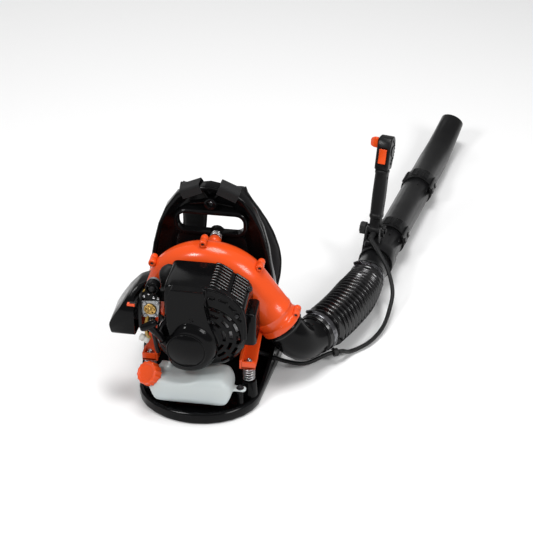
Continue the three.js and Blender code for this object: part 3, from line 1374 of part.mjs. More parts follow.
function fuelTank() {
  const outline = roundedPolygon([
    [TANK_LEFT + 16, TANK_BOTTOM, 22], [TANK_RIGHT - 12, TANK_BOTTOM, 24], [TANK_RIGHT, TANK_TOP - 30, 12],
    [TANK_RIGHT - 16, TANK_TOP, 18], [20, TANK_TOP, 10], [-20, TANK_TOP - 14, 14], [-56, TANK_TOP - 12, 10],
    [TANK_LEFT, TANK_TOP - 4, 12], [TANK_LEFT - 2, TANK_TOP - 30, 10],
  ]);
  const depth = TANK_BACK - TANK_FRONT;
  const height = TANK_TOP - TANK_BOTTOM;
  const midY = (TANK_BACK + TANK_FRONT) / 2;
  const profile = roundedRect(midY, TANK_BOTTOM + height / 2, depth, height, TANK_ROUND);
  const plan = roundedRect(
    (TANK_LEFT + TANK_RIGHT) / 2, midY, TANK_RIGHT - TANK_LEFT + 4, depth, TANK_ROUND + 8,
  );
  const neckAt = (distance) => offset(NECK_FOOT, NECK_AXIS, distance);
  const springCorner = rod(
    V(SPRING_X[0], SPRING_Y, TANK_BOTTOM - PAST), V(SPRING_X[0], SPRING_Y, TANK_TOP + PAST),
    SEAT_RADIUS + 5, 14,
  );
  const body = cut(
    frontPrism(outline, TANK_FRONT, TANK_BACK, { segments: 3 })
      .intersect(sidePrism(profile, TANK_LEFT - PAST, TANK_RIGHT + PAST, { segments: 2 }))
      .intersect(planPrism(plan, TANK_BOTTOM - PAST, TANK_TOP + PAST, { segments: 2 })),
    springCorner,
    rod(
      neckAt(FUEL_CAP_FOOT - GAP), neckAt(FUEL_CAP_FOOT + 2 * FUEL_CAP_HEIGHT), bored(FUEL_CAP_RADIUS, 20),
      20,
    ),
  );
  const neckEnd = NECK_LENGTH + 6;
  const tab = roundedRect((TANK_RIGHT + TANK_TAB_X) / 2, TANK_TAB_Y, TANK_TAB_X - TANK_RIGHT + 26, 17, 8);
  return cut(
    join(
      body,
      rod(neckAt(-14), neckAt(neckEnd), NECK_RADIUS, 16),
      planPrism(tab, TANK_TAB_Z, TANK_TAB_Z + TANK_TAB_WALL, { segments: 2 }),
      rod(V(FUEL_X, FUEL_Y, TANK_TOP - 24), V(FUEL_X, FUEL_Y, TANK_TOP + 3), 6, 10),
    ),
    rod(neckAt(-20), neckAt(neckEnd + 1), NECK_RADIUS - 4, 12),
    rod(
      V(TANK_TAB_X, TANK_TAB_Y, TANK_TAB_Z - PAST), V(TANK_TAB_X, TANK_TAB_Y, TANK_TAB_Z + 2 * PAST),
      BOSS_HOLE, 8,
    ),
  );
}
piece('fuel_tank', 'tank', fuelTank());

function fuelCap() {
  const skirt = extrude(
    ribbedCircle(FUEL_CAP_RADIUS, FUEL_CAP_RIBS, 1), FUEL_CAP_HEIGHT, { bevel: 1.5 },
  ).rotateX(-Math.PI / 2);
  const foot = offset(NECK_FOOT, NECK_AXIS, FUEL_CAP_FOOT);
  const neckTop = offset(NECK_FOOT, NECK_AXIS, NECK_LENGTH + 6 + GAP);
  return cut(
    toSolid(place(skirt, foot, NECK_AXIS)),
    rod(offset(foot, NECK_AXIS, -1), neckTop, bored(NECK_RADIUS, 16), 16),
  );
}
piece('fuel_cap', 'orange', fuelCap());

function fuelLine() {
  const out = V(CARB_RIGHT - 4, CARB_BACK - 8, CARB_BOTTOM);
  const route = new THREE.CatmullRomCurve3([
    V(FUEL_X, FUEL_Y, TANK_TOP + 3 + GAP), V(FUEL_X, FUEL_Y, TANK_TOP + 16),
    V(FUEL_X - 26, FUEL_Y + 12, TANK_TOP + 46), offset(out, V(0, 0, 1), -24), offset(out, V(0, 0, 1), -GAP),
  ]);
  return cord(route, FUEL_LINE_RADIUS, 10, 6);
}
piece('fuel_line', 'satin', fuelLine());

// ---------------------------------------------------------------- elbow and corrugated hose

const hoseIn = V(Math.sin(rad(HOSE_START_TURN)), Math.cos(rad(HOSE_START_TURN)), 0);
const wandLine = V(0, 1, 0).applyEuler(wand.rotation);
const startBore = ELBOW_RADIUS + GAP;
const endBore = bored(PIPE_RADIUS, HOSE_SIDES);
const hosePoint = (distance) => offset(HOSE_START, hoseIn, distance);
const wandPoint = (distance) => offset(WAND_ORIGIN, wandLine, distance);

// drawn from the hose back to the fan case
function elbow() {
  const seat = offset(ductEnd, flow, GAP);
  const path = new THREE.CurvePath();
  path.add(new THREE.LineCurve3(hosePoint(CUFF_LENGTH), HOSE_START));
  path.add(new THREE.CubicBezierCurve3(HOSE_START, hosePoint(-46), offset(seat, flow, 62), seat));
  const length = path.getLength();
  const bore = ELBOW_RADIUS - PIPE_WALL;
  const bend = Array.from({ length: 7 }, (_, i) => CUFF_LENGTH + 10 + ((length - CUFF_LENGTH - 18) * i) / 6);
  return pipeAlong(
    path,
    [
      [0, ELBOW_RADIUS], [CUFF_LENGTH + 2, ELBOW_RADIUS], [CUFF_LENGTH + 2, ELBOW_RADIUS + 2.5],
      [CUFF_LENGTH + 7, ELBOW_RADIUS + 2.5], [CUFF_LENGTH + 7, ELBOW_RADIUS],
      ...bend.map((distance) => [distance, ELBOW_RADIUS]),
      [length - 6, DUCT_RADIUS + 1], [length, DUCT_RADIUS + 1],
    ],
    [[0, bore], ...[1, 2, 4, 5].map((i) => [bend[i], bore]), [length, bore]],
    HOSE_SIDES,
  );
}
piece('elbow', 'satin', elbow());

// centre line of the hose: straight in both cuffs and curved between them
const hosePath = new THREE.CurvePath();
const hosePull = hosePoint(CUFF_LENGTH).distanceTo(wandPoint(CLAMP_WIDTH - CUFF_LENGTH)) / 3;
hosePath.add(new THREE.LineCurve3(HOSE_START, hosePoint(CUFF_LENGTH)));
hosePath.add(new THREE.CubicBezierCurve3(
  hosePoint(CUFF_LENGTH), hosePoint(CUFF_LENGTH + hosePull),
  wandPoint(CLAMP_WIDTH - CUFF_LENGTH - hosePull), wandPoint(CLAMP_WIDTH - CUFF_LENGTH),
));
hosePath.add(new THREE.LineCurve3(wandPoint(CLAMP_WIDTH - CUFF_LENGTH), wandPoint(CLAMP_WIDTH)));
const hoseLength = hosePath.getLength();
const foldStart = CUFF_LENGTH + 4;
const foldPitch = (hoseLength - CUFF_LENGTH - 4 - foldStart) / HOSE_FOLDS;
const seamFold = HOSE_FOLDS / 2;
const seamDistance = foldStart + seamFold * foldPitch;

// valley and peak of every fold from one fold to another
function folds(from, to) {
  return Array.from({ length: to - from }, (_, i) => {
    const fold = from + i;
    const full = Math.min(1, (HOSE_FOLDS - fold) / HOSE_TAPER);
    const mix = (wide, narrow) => THREE.MathUtils.lerp(narrow, wide, full);
    const at = foldStart + fold * foldPitch;
    return [
      [at, mix(HOSE_VALLEY, endBore + CUFF_WALL + 1)],
      [at + foldPitch / 2, mix(HOSE_PEAK, endBore + CUFF_WALL + 4)],
    ];
  }).flat();
}

function hoseLower() {
  const end = seamDistance - GAP;
  return pipeAlong(
    hosePath,
    [
      [0, startBore + CUFF_WALL], [CUFF_LENGTH, startBore + CUFF_WALL], ...folds(0, seamFold),
      [end, HOSE_VALLEY],
    ],
    [
      [0, startBore], [CUFF_LENGTH, startBore], [foldStart + 2 * foldPitch, startBore],
      [foldStart + 5 * foldPitch, startBore],
      [end, startBore],
    ],
    HOSE_SIDES,
  );
}

function hoseUpper() {
  const last = foldStart + HOSE_FOLDS * foldPitch;
  return pipeAlong(
    hosePath,
    [
      ...folds(seamFold, HOSE_FOLDS), [last, endBore + CUFF_WALL], [hoseLength, endBore + CUFF_WALL],
    ],
    [
      [seamDistance, startBore], [seamDistance + 2 * foldPitch, startBore],
      [seamDistance + 4 * foldPitch, startBore - 1],
      [last, endBore], [hoseLength, endBore],
    ],
    HOSE_SIDES,
  );
}
piece('hose_lower', 'rubber', hoseLower());
piece('hose_upper', 'rubber', hoseUpper());

function hoseClamp(centre, axis, inner) {
  const from = offset(centre, axis, -CLAMP_WIDTH / 2);
  const to = offset(centre, axis, CLAMP_WIDTH / 2);
  const across = axis.clone().cross(V(0, 0, 1)).normalize();
  const side = across.clone().cross(axis).multiplyScalar(0.86).addScaledVector(across, -0.5).normalize();
  const tangent = side.clone().cross(axis).normalize();
  const housing = offset(centre, side, inner + 3.5);
  return cut(
    join(
      sleeve(inner, inner + CLAMP_WALL, from, to, 18),
      rod(offset(housing, tangent, -9), offset(housing, tangent, 11), 4.2, 6),
    ),
    rod(offset(from, axis, -PAST), offset(to, axis, PAST), inner, 18),
  );
}
const elbowClampAt = hosePoint(CUFF_LENGTH / 2);
const pipeClampAt = wandPoint(CLAMP_WIDTH - CUFF_LENGTH * 0.4);
const elbowClampBore = bored(startBore + CUFF_WALL, 18);
piece('clamp_elbow', 'steel', hoseClamp(elbowClampAt, hoseIn, elbowClampBore));
piece('clamp_pipe', 'steel', hoseClamp(pipeClampAt, wandLine, bored(endBore + CUFF_WALL, 18)));

// ------------------------------------------------- wand: pipes and nozzle, along the wand's own Y

const along = (y) => V(0, y, 0);
const socketBore = bored(PIPE_RADIUS, PIPE_SIDES);

function swivelPipe() {
  const ridge = CLAMP_WIDTH + 3;
  const bore = PIPE_RADIUS - PIPE_WALL;
  const start = CLAMP_WIDTH - CUFF_LENGTH;
  const end = SWIVEL_END + SOCKET_DEPTH - 3;
  return revolve([
    [bore, start], [PIPE_RADIUS, start], [PIPE_RADIUS, ridge], [PIPE_RADIUS + 2, ridge + 1],
    [PIPE_RADIUS + 2, ridge + 5],
    [PIPE_RADIUS, ridge + 6], [PIPE_RADIUS, end], [bore, end], [bore, start],
  ], along(0), V(0, 1, 0), PIPE_SIDES);
}
piece('swivel_pipe', 'satin', swivelPipe(), wand);

// grip ribs and latch pocket of a bell that starts at a place along the wand
function bellTrim(start) {
  const ribs = [LATCH_SIDE, LATCH_SIDE + 36].flatMap((middle) => [-7, 0, 7].map((turn) => {
    const rib = new THREE.BoxGeometry(1.8, BELL_LENGTH * 0.6, 3).translate(
      0, start + BELL_LENGTH * 0.55, BELL_RADIUS,
    );
    return toSolid(rib.rotateY(rad(90 - middle + turn)));
  }));
  const latch = new THREE.BoxGeometry(9, BELL_LENGTH + 6, 5);
  latch.translate(0, start + (BELL_LENGTH + 6) / 2 - 12, BELL_RADIUS + 1.5).rotateY(rad(LATCH_SIDE));
  const space = rod(along(start - 2 * PAST - PAST), along(start + SOCKET_DEPTH), socketBore, PIPE_SIDES);
  return [...ribs, toSolid(latch)].map((trim) => cut(trim, space));
}

const bellOutside = [
  [0, BELL_RADIUS], [BELL_LENGTH, BELL_RADIUS], [BELL_LENGTH + BELL_TAPER, PIPE_RADIUS],
];
const bellBore = [
  [0, socketBore], [SOCKET_DEPTH, socketBore], [SOCKET_DEPTH + 3, PIPE_RADIUS - PIPE_WALL],
];

function blowerPipe() {
  const length = PIPE_END + SOCKET_DEPTH - 3 - SWIVEL_END;
  const path = new THREE.LineCurve3(along(SWIVEL_END), along(SWIVEL_END + length));
  const outside = [...bellOutside, [length, PIPE_RADIUS]];
  const bore = [...bellBore, [length, PIPE_RADIUS - PIPE_WALL]];
  return join(pipeAlong(path, outside, bore, PIPE_SIDES), bellTrim(SWIVEL_END));
}
piece('blower_pipe', 'satin', blowerPipe(), wand);

function nozzle() {
  const bendStart = PIPE_END + NOZZLE_STRAIGHT;
  const turn = rad(NOZZLE_BEND);
  const reach = NOZZLE_BEND_LENGTH / turn;
  const lean = V(Math.sin(rad(NOZZLE_ROLL)), 0, Math.cos(rad(NOZZLE_ROLL)));
  const tip = offset(along(bendStart + reach * Math.sin(turn)), lean, reach * (1 - Math.cos(turn)));
  const tipLine = offset(along(Math.cos(turn)), lean, Math.sin(turn));
  const pull = NOZZLE_BEND_LENGTH / 3;
  const path = new THREE.CurvePath();
  path.add(new THREE.LineCurve3(along(PIPE_END), along(bendStart)));
  path.add(
    new THREE.CubicBezierCurve3(along(bendStart), along(bendStart + pull), offset(tip, tipLine, -pull), tip),
  );
  const length = path.getLength();
  const bend = (wall, steps) => Array.from({ length: steps + 1 }, (_, i) => [
    NOZZLE_STRAIGHT + ((length - NOZZLE_STRAIGHT) * i) / steps,
    THREE.MathUtils.lerp(PIPE_RADIUS, NOZZLE_TIP_RADIUS, i / steps) - wall,
  ]);
  return join(
    pipeAlong(path, [...bellOutside, ...bend(0, 6)], [...bellBore, ...bend(PIPE_WALL, 4)], PIPE_SIDES),
    bellTrim(PIPE_END),
  );
}
piece('nozzle', 'satin', nozzle(), wand);

// ---------------------------------------------------------------- control handle

function handleBracket() {
  const from = BRACKET_Y - BRACKET_WIDTH / 2;
  const to = BRACKET_Y + BRACKET_WIDTH / 2;
  const inner = bored(PIPE_RADIUS, PIPE_SIDES);
  const ear = new THREE.Shape();
  ear.moveTo(from + 4, 0);
  ear.lineTo(to, 0);
  ear.lineTo(PIVOT_Y + EAR_RADIUS, PIVOT_Z);
  ear.absarc(PIVOT_Y, PIVOT_Z, EAR_RADIUS, 0, Math.PI * 0.8);
  ear.closePath();
  const left = PIVOT_X - LUG_HALF - PLAY;
  const right = PIVOT_X + LUG_HALF + PLAY;
  return cut(
    join(
      sleeve(inner, inner + BRACKET_WALL, along(from), along(to), PIPE_SIDES),
      sidePrism(ear, left - EAR_WALL, left, { segments: 3 }),
      sidePrism(ear, right, right + EAR_WALL, { segments: 3 }),
      block(V(-8, from, -inner - 9), V(8, to, -inner - 2)),
    ),
    rod(along(from - PAST), along(to + 20), inner, PIPE_SIDES),
    rod(V(left - 20, PIVOT_Y, PIVOT_Z), V(right + 20, PIVOT_Y, PIVOT_Z), bored(BOLT_RADIUS, 10), 10),
  );
}
piece('handle_bracket', 'satin', handleBracket(), wand);

function handleKnob() {
  const outside = LUG_HALF + PLAY + EAR_WALL + GAP;
  const rim = extrude(
    ribbedCircle(KNOB_RADIUS, KNOB_LOBES, 1.6), KNOB_LENGTH, { bevel: 1 },
  ).rotateX(-Math.PI / 2);
  const at = V(PIVOT_X - outside, PIVOT_Y, PIVOT_Z);
  return join(
    toSolid(place(rim, at, V(-1, 0, 0))),
    rod(at.clone().add(V(-2, 0, 0)), V(PIVOT_X + outside + PAST, PIVOT_Y, PIVOT_Z), BOLT_RADIUS, 10),
  );
}
piece('handle_knob', 'rubber', handleKnob(), wand);

function handleStem() {
  const grip = roundedRect(0, 0, STEM_WIDTH, STEM_DEPTH, 11);
  return cut(
    join(
      rod(V(-LUG_HALF, 0, 0), V(LUG_HALF, 0, 0), EAR_RADIUS, 16),
      planPrism(roundedRect(0, 0, 2 * LUG_HALF, EAR_RADIUS * 2 - 3, 5), 0, STEM_BOTTOM + 2, { segments: 1 }),
      planPrism(grip, STEM_BOTTOM, STEM_TOP - GAP, { segments: 2, bevel: 1.5 }),
    ),
    rod(V(-LUG_HALF - PAST, 0, 0), V(LUG_HALF + PAST, 0, 0), bored(BOLT_RADIUS, 10), 10),
    block(
      V(-TRIGGER_HALF - 1, TRIGGER_POCKET, TRIGGER_FOOT - 4),
      V(TRIGGER_HALF + 1, STEM_DEPTH, STEM_TOP + 1),
    ),
  );
}
piece('handle_stem', 'satin', handleStem(), handle);

const pocketHalf = SWITCH_WIDTH / 2 + 0.5;
function handleHead() {
  const back = -STEM_DEPTH / 2;
  const front = STEM_DEPTH / 2;
  const side = roundedPolygon([
    [back - 2, STEM_TOP, 4], [front + 3, STEM_TOP, 4], [front + 14, STEM_TOP + 32, 10],
    [front + 13, HEAD_TOP - 14, 8],
    [front + 2, HEAD_TOP, 7], [back + 4, HEAD_TOP - 2, 9], [back - 3, HEAD_TOP - 24, 8],
  ]);
  const pin = V(TRIGGER_HALF + 3, 0, 0);
  const pivot = V(0, TRIGGER_PIVOT_Y, TRIGGER_PIVOT_Z);
  return cut(
    sidePrism(side, -HEAD_WIDTH / 2, HEAD_WIDTH / 2, { segments: 2, bevel: 2.5 }),
    block(V(-TRIGGER_HALF - 1, front - 11, STEM_TOP - 1), V(TRIGGER_HALF + 1, front + 16, STEM_TOP + 14)),
    rod(pivot.clone().sub(pin), pivot.clone().add(pin), bored(TRIGGER_PIN, 8), 8),
    block(
      V(-pocketHalf, -40, SWITCH_Z - SWITCH_HEIGHT / 2 - 2),
      V(pocketHalf, SWITCH_Y + 6, SWITCH_Z + SWITCH_HEIGHT / 2 + 2),
    ),
    rod(
      V(-HEAD_WIDTH / 2 - 1, CRUISE_Y, CRUISE_Z), V(-HEAD_WIDTH / 2 + 9, CRUISE_Y, CRUISE_Z),
      bored(CRUISE_PIN, 8), 8,
    ),
  );
}
piece('handle_head', 'satin', handleHead(), handle);

function stopSwitch() {
  const half = SWITCH_HEIGHT / 2;
  const rocker = new THREE.Shape();
  rocker.moveTo(SWITCH_Y + 2, SWITCH_Z - half + 2);
  rocker.lineTo(SWITCH_Y + 2, SWITCH_Z + half - 2);
  rocker.lineTo(SWITCH_Y - 12, SWITCH_Z + half);
  rocker.quadraticCurveTo(SWITCH_Y - 7, SWITCH_Z, SWITCH_Y - 12, SWITCH_Z - half);
  rocker.closePath();
  return sidePrism(rocker, -SWITCH_WIDTH / 2, SWITCH_WIDTH / 2);
}
piece('stop_switch', 'orange', stopSwitch(), handle);

function trigger() {
  const front = STEM_DEPTH / 2;
  const side = roundedPolygon([
    [front - 4, TRIGGER_FOOT, 2], [front + 7, TRIGGER_FOOT + 4, 4], [front + 8, TRIGGER_FOOT + 40, 18],
    [front + 1, STEM_TOP + 10, 3], [front - 7, STEM_TOP + 12, 3], [front - 7, STEM_TOP - 10, 3],
  ]);
  const pin = V(TRIGGER_HALF + 3 - GAP, 0, 0);
  const pivot = V(0, TRIGGER_PIVOT_Y, TRIGGER_PIVOT_Z);
  return join(
    sidePrism(side, -TRIGGER_HALF, TRIGGER_HALF, { segments: 2 }),
    rod(pivot.clone().sub(pin), pivot.clone().add(pin), TRIGGER_PIN, 8),
  );
}
piece('trigger', 'satin', trigger(), handle);

function cruiseLever() {
  const face = -HEAD_WIDTH / 2 - GAP;
  const arm = roundedPolygon([
    [CRUISE_Y - 7, CRUISE_Z - 6, 5], [CRUISE_Y + 7, CRUISE_Z - 6, 5], [CRUISE_Y + 6, CRUISE_Z + 8, 5],
    [CRUISE_Y - 12, CRUISE_Z + 14, 4],
  ]);
  return join(
    sidePrism(arm, face - 10, face, { segments: 2, bevel: 1.5 }),
    rod(V(face - 1, CRUISE_Y, CRUISE_Z), V(face + 8, CRUISE_Y, CRUISE_Z), CRUISE_PIN, 8),
  );
}
piece('cruise_lever', 'orange', cruiseLever(), handle);

// ---------------------------------------------------------------- control cable

const clipCentre = offset(elbowClampAt, hoseIn.clone().cross(V(0, 0, 1)).normalize(), 44).add(V(0, 0, -37));
const clipAt = (distance) => offset(clipCentre, CLIP_AXIS, distance);
function cableClip() {
  const towards = elbowClampAt.clone().sub(clipCentre).normalize();
  const seat = bored(elbowClampBore + CLAMP_WALL, 18);
  const neck = rod(offset(clipCentre, towards, 7), offset(elbowClampAt, towards, 3 - seat), 4, 8);
  return cut(
    join(rod(clipAt(-5), clipAt(5), 9, 10), neck),
    rod(clipAt(-8), clipAt(8), bored(CABLE_RADIUS, 10), 10),
    rod(offset(elbowClampAt, hoseIn, -30), offset(elbowClampAt, hoseIn, 30), seat, 18),
  );
}
piece('cable_clip', 'rubber', cableClip());

const fixedRoute = new THREE.CatmullRomCurve3([...CABLE_FIXED, clipAt(-7), clipAt(7)]);
piece('cable_fixed', 'rubber', cord(fixedRoute, CABLE_RADIUS, 16));

// part of a curve between two shares of its length
class Stretch extends THREE.Curve {
  constructor(curve, from, to) {
    super();
    Object.assign(this, { curve, from, to });
  }

  getPoint(t) {
    return this.curve.getPointAt(THREE.MathUtils.lerp(this.from, this.to, t));
  }
}

group.updateMatrixWorld(true);
const cableEnd = wand.localToWorld(V(PIVOT_X, PIVOT_Y - EAR_RADIUS - GAP, PIVOT_Z - CABLE_DROP));
const cableOut = wand.localToWorld(V(PIVOT_X, PIVOT_Y - EAR_RADIUS - 16, PIVOT_Z - CABLE_DROP));
const loopRoute = new THREE.CatmullRomCurve3(
  [clipAt(7 + GAP), clipAt(16), ...CABLE_LOOP, cableOut, cableEnd],
);
const loopGap = GAP / loopRoute.getLength();
['cable_loop_a', 'cable_loop_b', 'cable_loop_c'].forEach((name, i) => {
  const from = CABLE_SPLITS[i] + (i > 0 ? loopGap : 0);
  piece(name, 'rubber', cord(new Stretch(loopRoute, from, CABLE_SPLITS[i + 1]), CABLE_RADIUS, 8));
});

// ---------------------------------------------------------------- harness

// flat band swept along a centre line from a section drawn as (across, out)
function band(points, section, steps) {
  const curve = new THREE.CatmullRomCurve3(points);
  return loft(Array.from({ length: steps + 1 }, (_, i) => {
    const centre = curve.getPointAt(i / steps);
    const line = curve.getTangentAt(i / steps);
    const across = V(1, 0, 0).addScaledVector(line, -line.x).normalize();
    const out = line.clone().cross(across).normalize();
    return section.map(([a, b]) => offset(centre, across, a).addScaledVector(out, b));
  }));
}
const padHalf = PAD_WIDTH / 2;
const padSection = [
  [4 - padHalf, -PAD_WALL / 2], [padHalf - 4, -PAD_WALL / 2], [padHalf, 0], [padHalf - 4, PAD_WALL / 2],
  [4 - padHalf, PAD_WALL / 2], [-padHalf, 0],
];
const webSection = [
  [-WEB_HALF, -STRAP_WALL / 2], [WEB_HALF, -STRAP_WALL / 2], [WEB_HALF, STRAP_WALL / 2],
  [-WEB_HALF, STRAP_WALL / 2],
];
for (const [name, points] of Object.entries(SHOULDER_PADS)) {
  piece(name, 'cloth', band(points.map(([x, y, drop]) => V(x, y, STRAP_Z - drop)), padSection, 9));
}
for (const [name, points] of Object.entries(LOWER_STRAPS)) {
  piece(name, 'cloth', band(points.map(([x, y, drop]) => V(x, y, PAD_END - drop)), webSection, 6));
}

piece('back_cushion', 'cloth', frontPrism(
  roundedRect(0, CUSHION_Z, CUSHION_WIDTH, CUSHION_HEIGHT, 30), PLATE_BACK + GAP, CUSHION_BACK,
  { segments: 3, bevel: 5 },
));

// webbing folded over the top edge of the plate and down its front
function upperStrap(side) {
  const clear = GAP;
  const front = PLATE_BACK - PLATE_RIM_DEPTH - clear;
  const over = clear + STRAP_WALL;
  const outline = polygon([
    [front - STRAP_WALL, -STRAP_DROP], [front - STRAP_WALL, clear], [front - 1, over], [PLATE_BACK + 4, over],
    [PLATE_BACK + 9, -10], [PLATE_BACK + 6.6, -10], [PLATE_BACK + 3, clear], [front, clear],
    [front, -STRAP_DROP],
  ]);
  return sidePrism(outline, -STRAP_WIDTH / 2, STRAP_WIDTH / 2)
    .rotate([0, side * STRAP_TILT, 0])
    .translate([side * STRAP_X, 0, STRAP_Z]);
}
piece('strap_left', 'cloth', upperStrap(-1));
piece('strap_right', 'cloth', upperStrap(1));

export default group;
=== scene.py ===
"""Backpack leaf blower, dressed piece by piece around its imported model.

Sizes in the constants below are millimetres in the model's own frame: +Z is up, the wearer's
back is at +Y and the wand leaves at +X. Meshes are written in metres.
"""
import math

import bmesh
import bpy
from bpy.props import FloatProperty, FloatVectorProperty, IntProperty, PointerProperty
from mathutils import Matrix, Vector


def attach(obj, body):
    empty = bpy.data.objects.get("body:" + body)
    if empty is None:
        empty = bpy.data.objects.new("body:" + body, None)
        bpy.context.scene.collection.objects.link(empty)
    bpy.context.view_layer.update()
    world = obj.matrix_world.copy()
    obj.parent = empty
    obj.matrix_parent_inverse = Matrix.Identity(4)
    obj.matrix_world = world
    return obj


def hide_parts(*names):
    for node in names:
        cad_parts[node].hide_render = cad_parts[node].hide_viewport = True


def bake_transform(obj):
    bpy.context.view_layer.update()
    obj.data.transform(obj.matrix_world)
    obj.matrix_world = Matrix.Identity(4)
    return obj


bl_info = {
    "name": "Backpack leaf blower",
    "version": (1, 0, 0),
    "blender": (4, 5, 0),
    "location": "3D View > Sidebar > Blower",
    "description": "Builds and finishes the pieces of a backpack leaf blower",
    "category": "Object",
}

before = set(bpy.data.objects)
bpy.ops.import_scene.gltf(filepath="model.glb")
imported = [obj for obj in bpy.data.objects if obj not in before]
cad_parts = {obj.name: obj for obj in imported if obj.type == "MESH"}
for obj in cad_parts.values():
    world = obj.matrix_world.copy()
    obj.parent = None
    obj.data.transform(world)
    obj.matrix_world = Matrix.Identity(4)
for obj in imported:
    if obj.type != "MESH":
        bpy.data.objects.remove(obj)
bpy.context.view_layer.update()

MM = 0.001
CORE = 0.01  # radius that closes a turned profile at its axis
RIGHT, FRONT, BACK, UP = Vector((1, 0, 0)), Vector((0, -1, 0)), Vector((0, 1, 0)), Vector((0, 0, 1))

# fan case
FAN = Vector((-12, 48, 175))
VOLUTE_CORE = 70
VOLUTE_START, VOLUTE_END, VOLUTE_STEPS = 320, 35, 110
START_DUCT, DUCT_RADIUS, DUCT_LENGTH = 6, 44, 134
DRUM_RADIUS, DRUM_HALF, DRUM_WALL = 87, 26, 3
BOSS_ANGLES, BOSS_RADIUS, EXIT_BOSS_BACK = (137.5, 87, 39), 8, 12
COLLAR_RISE, COLLAR_LENGTH = 2, 16

# springs
SPRING_X = (-101, 106)
SPRING_Y, SPRING_BOTTOM, SPRING_HEIGHT, SPRING_OUTER = -62, 62, 35, 13
TOP_SPRING = Vector((11, 91, 300))
TOP_SPRING_LENGTH, TOP_SPRING_TURNS = 18, 3
STEPS_PER_TURN = 26

# starter
CAP_RADIUS = 43
DOME_CENTRE = Vector((-12, 0, 169))
DOME_RADIUS, DOME_FRONT, DOME_NOTCH = 62, 125.5, 167
DOME_BACK, DOME_SHOULDER = 84, 101
HOOD_X, HOOD_Z, HOOD_RADIUS = 22, 188, 73
PULL = Vector((-0.52, -0.23, 0.82)).normalized()
ROPE_EXIT = Vector((-61, -111, 181))
ROPE_RADIUS, ROPE_REACH, ROPE_STEPS, ROPE_TURNS = 1.6, 8, 48, 1.6
STARTER_SCREWS = ((18.7, -89, 112.1), (-9.6, -89, 105), (88, -97, 246))
STARTER_COLUMN = (
    (24, 303), (23.5, 292), (22, 271), (26, 250), (33, 225), (42, 201), (46, 176), (40, 150),
    (-40, 150), (-46, 196), (-50, 222), (-51, 241), (-50, 264), (-48, 291), (-44, 304),
)
STARTER_BROW = (
    (22, 304), (36, 303.5), (56, 297), (78, 284), (94, 264), (102, 238), (104, 210), (103.5, 188),
)
STARTER_SLOTS = (
    (-2, 237, 3.4, 3.4, 0), (36, 284, 7, 3.2, -8), (60, 279, 9, 2.6, -22), (79, 263, 9, 2.6, -45),
    (91, 240, 9, 2.6, -66),
)
SLOT_FRONT, SLOT_DEPTH, SLOT_SLOPE = -90, 7, 1.6

# engine cover trim
LOUVRE_ROWS, LOUVRE_FIRST, LOUVRE_PITCH, LOUVRE_TIP = 8, -8, 9.8, 1.6
LOUVRE_RUNS = (((30, 304.6), (40, 303), (65, 287.6)), ((71, 283.6), (84, 274.9), (98, 265.4)))
PLUG_BOOT = (
    (-52, -8, 281), (-63, -9, 284), (-72, -12, 276), (-76, -17, 260), (-75, -21, 246), (-69, -24, 236),
)
BOOT_GIRTHS = (0.1, 7, 11, 13.5, 14.5, 15, 14.6, 13.4, 11.6, 9.6, 8, 7, 6.4, 6, 5.6, 5, 0.1)
COVER_BOLT, COVER_BOLT_AXIS = Vector((103, -26, 266)), Vector((0.55, -0.35, 0.76))

# fuel system
NECK_FOOT = Vector((-86, -101, 80))
NECK_AXIS = Vector((-0.45, -0.6, 0.66)).normalized()
NECK_CLEAR, TAB_CLEAR = 27, 79
FUEL_CAP_RADIUS, FUEL_CAP_HEIGHT, FUEL_CAP_FOOT = 25.4, 22, 7
TANK_TAB = Vector((93, -97, 65))
PRIMER = Vector((-92, -60, 270))
CARB_PLATE = ((-77, 242), (-79, 222), (-82, 203), (-112, 200), (-113.4, 220), (-113.4, 238))
CARB_LUGS = ((-82, 237), (-108, 234), (-107, 205), (-87, 206))
CARB_PLUG = Vector((-97, -64.4, 221))
LINKAGE_BLOCK = ((-76, 240), (-80, 256), (-85, 262), (-104, 262), (-113, 254), (-114, 241))
FUEL_TUBES = (
    ("return_tube", 3.4, "clear_tube", (
        (-103, -62, 203), (-105, -68, 192), (-105.5, -73, 178), (-104, -74, 164), (-98, -72, 152))),
    ("primer_tube", 2, "clear_tube", (
        (-104, -50, 262), (-111, -52, 256), (-113, -54, 247), (-110, -57, 240))),
    ("fuel_hose", 4.6, "black_rubber", (
        (-92, -58, 200), (-92, -66, 186), (-90, -72, 168), (-87, -73, 150), (-85, -72, 132),
        (-82, -72, 118))),
    ("vent_hose", 3.6, "black_rubber", (
        (-77, -54, 202), (-75, -60, 192), (-77, -66, 172), (-76, -67, 150))),
)
TUBE_TIP = 0.8
PUMP_FOOT, PUMP_AXIS = Vector((-101, -73, 147)), Vector((-20, -2, 12))
CHOKE_TAB = Vector((-126, -95.5, 249))

# air path
ELBOW_RADIUS = 41
HOSE_START = Vector((222, 112, 64))
HOSE_IN = Vector((math.sin(math.radians(29)), math.cos(math.radians(29)), 0))
WAND_ORIGIN = Vector((310, 348, 60))
WAND_TURN, WAND_DIP = 10.6, 2.3
CUFF_LENGTH, CUFF_WALL, CUFF_END_BORE, CUFF_GAP = 30, 2.4, 36.5, 4
HOSE_TAPER, STEPS_PER_FOLD = 5, 12
PIPE_RADIUS = 35.5

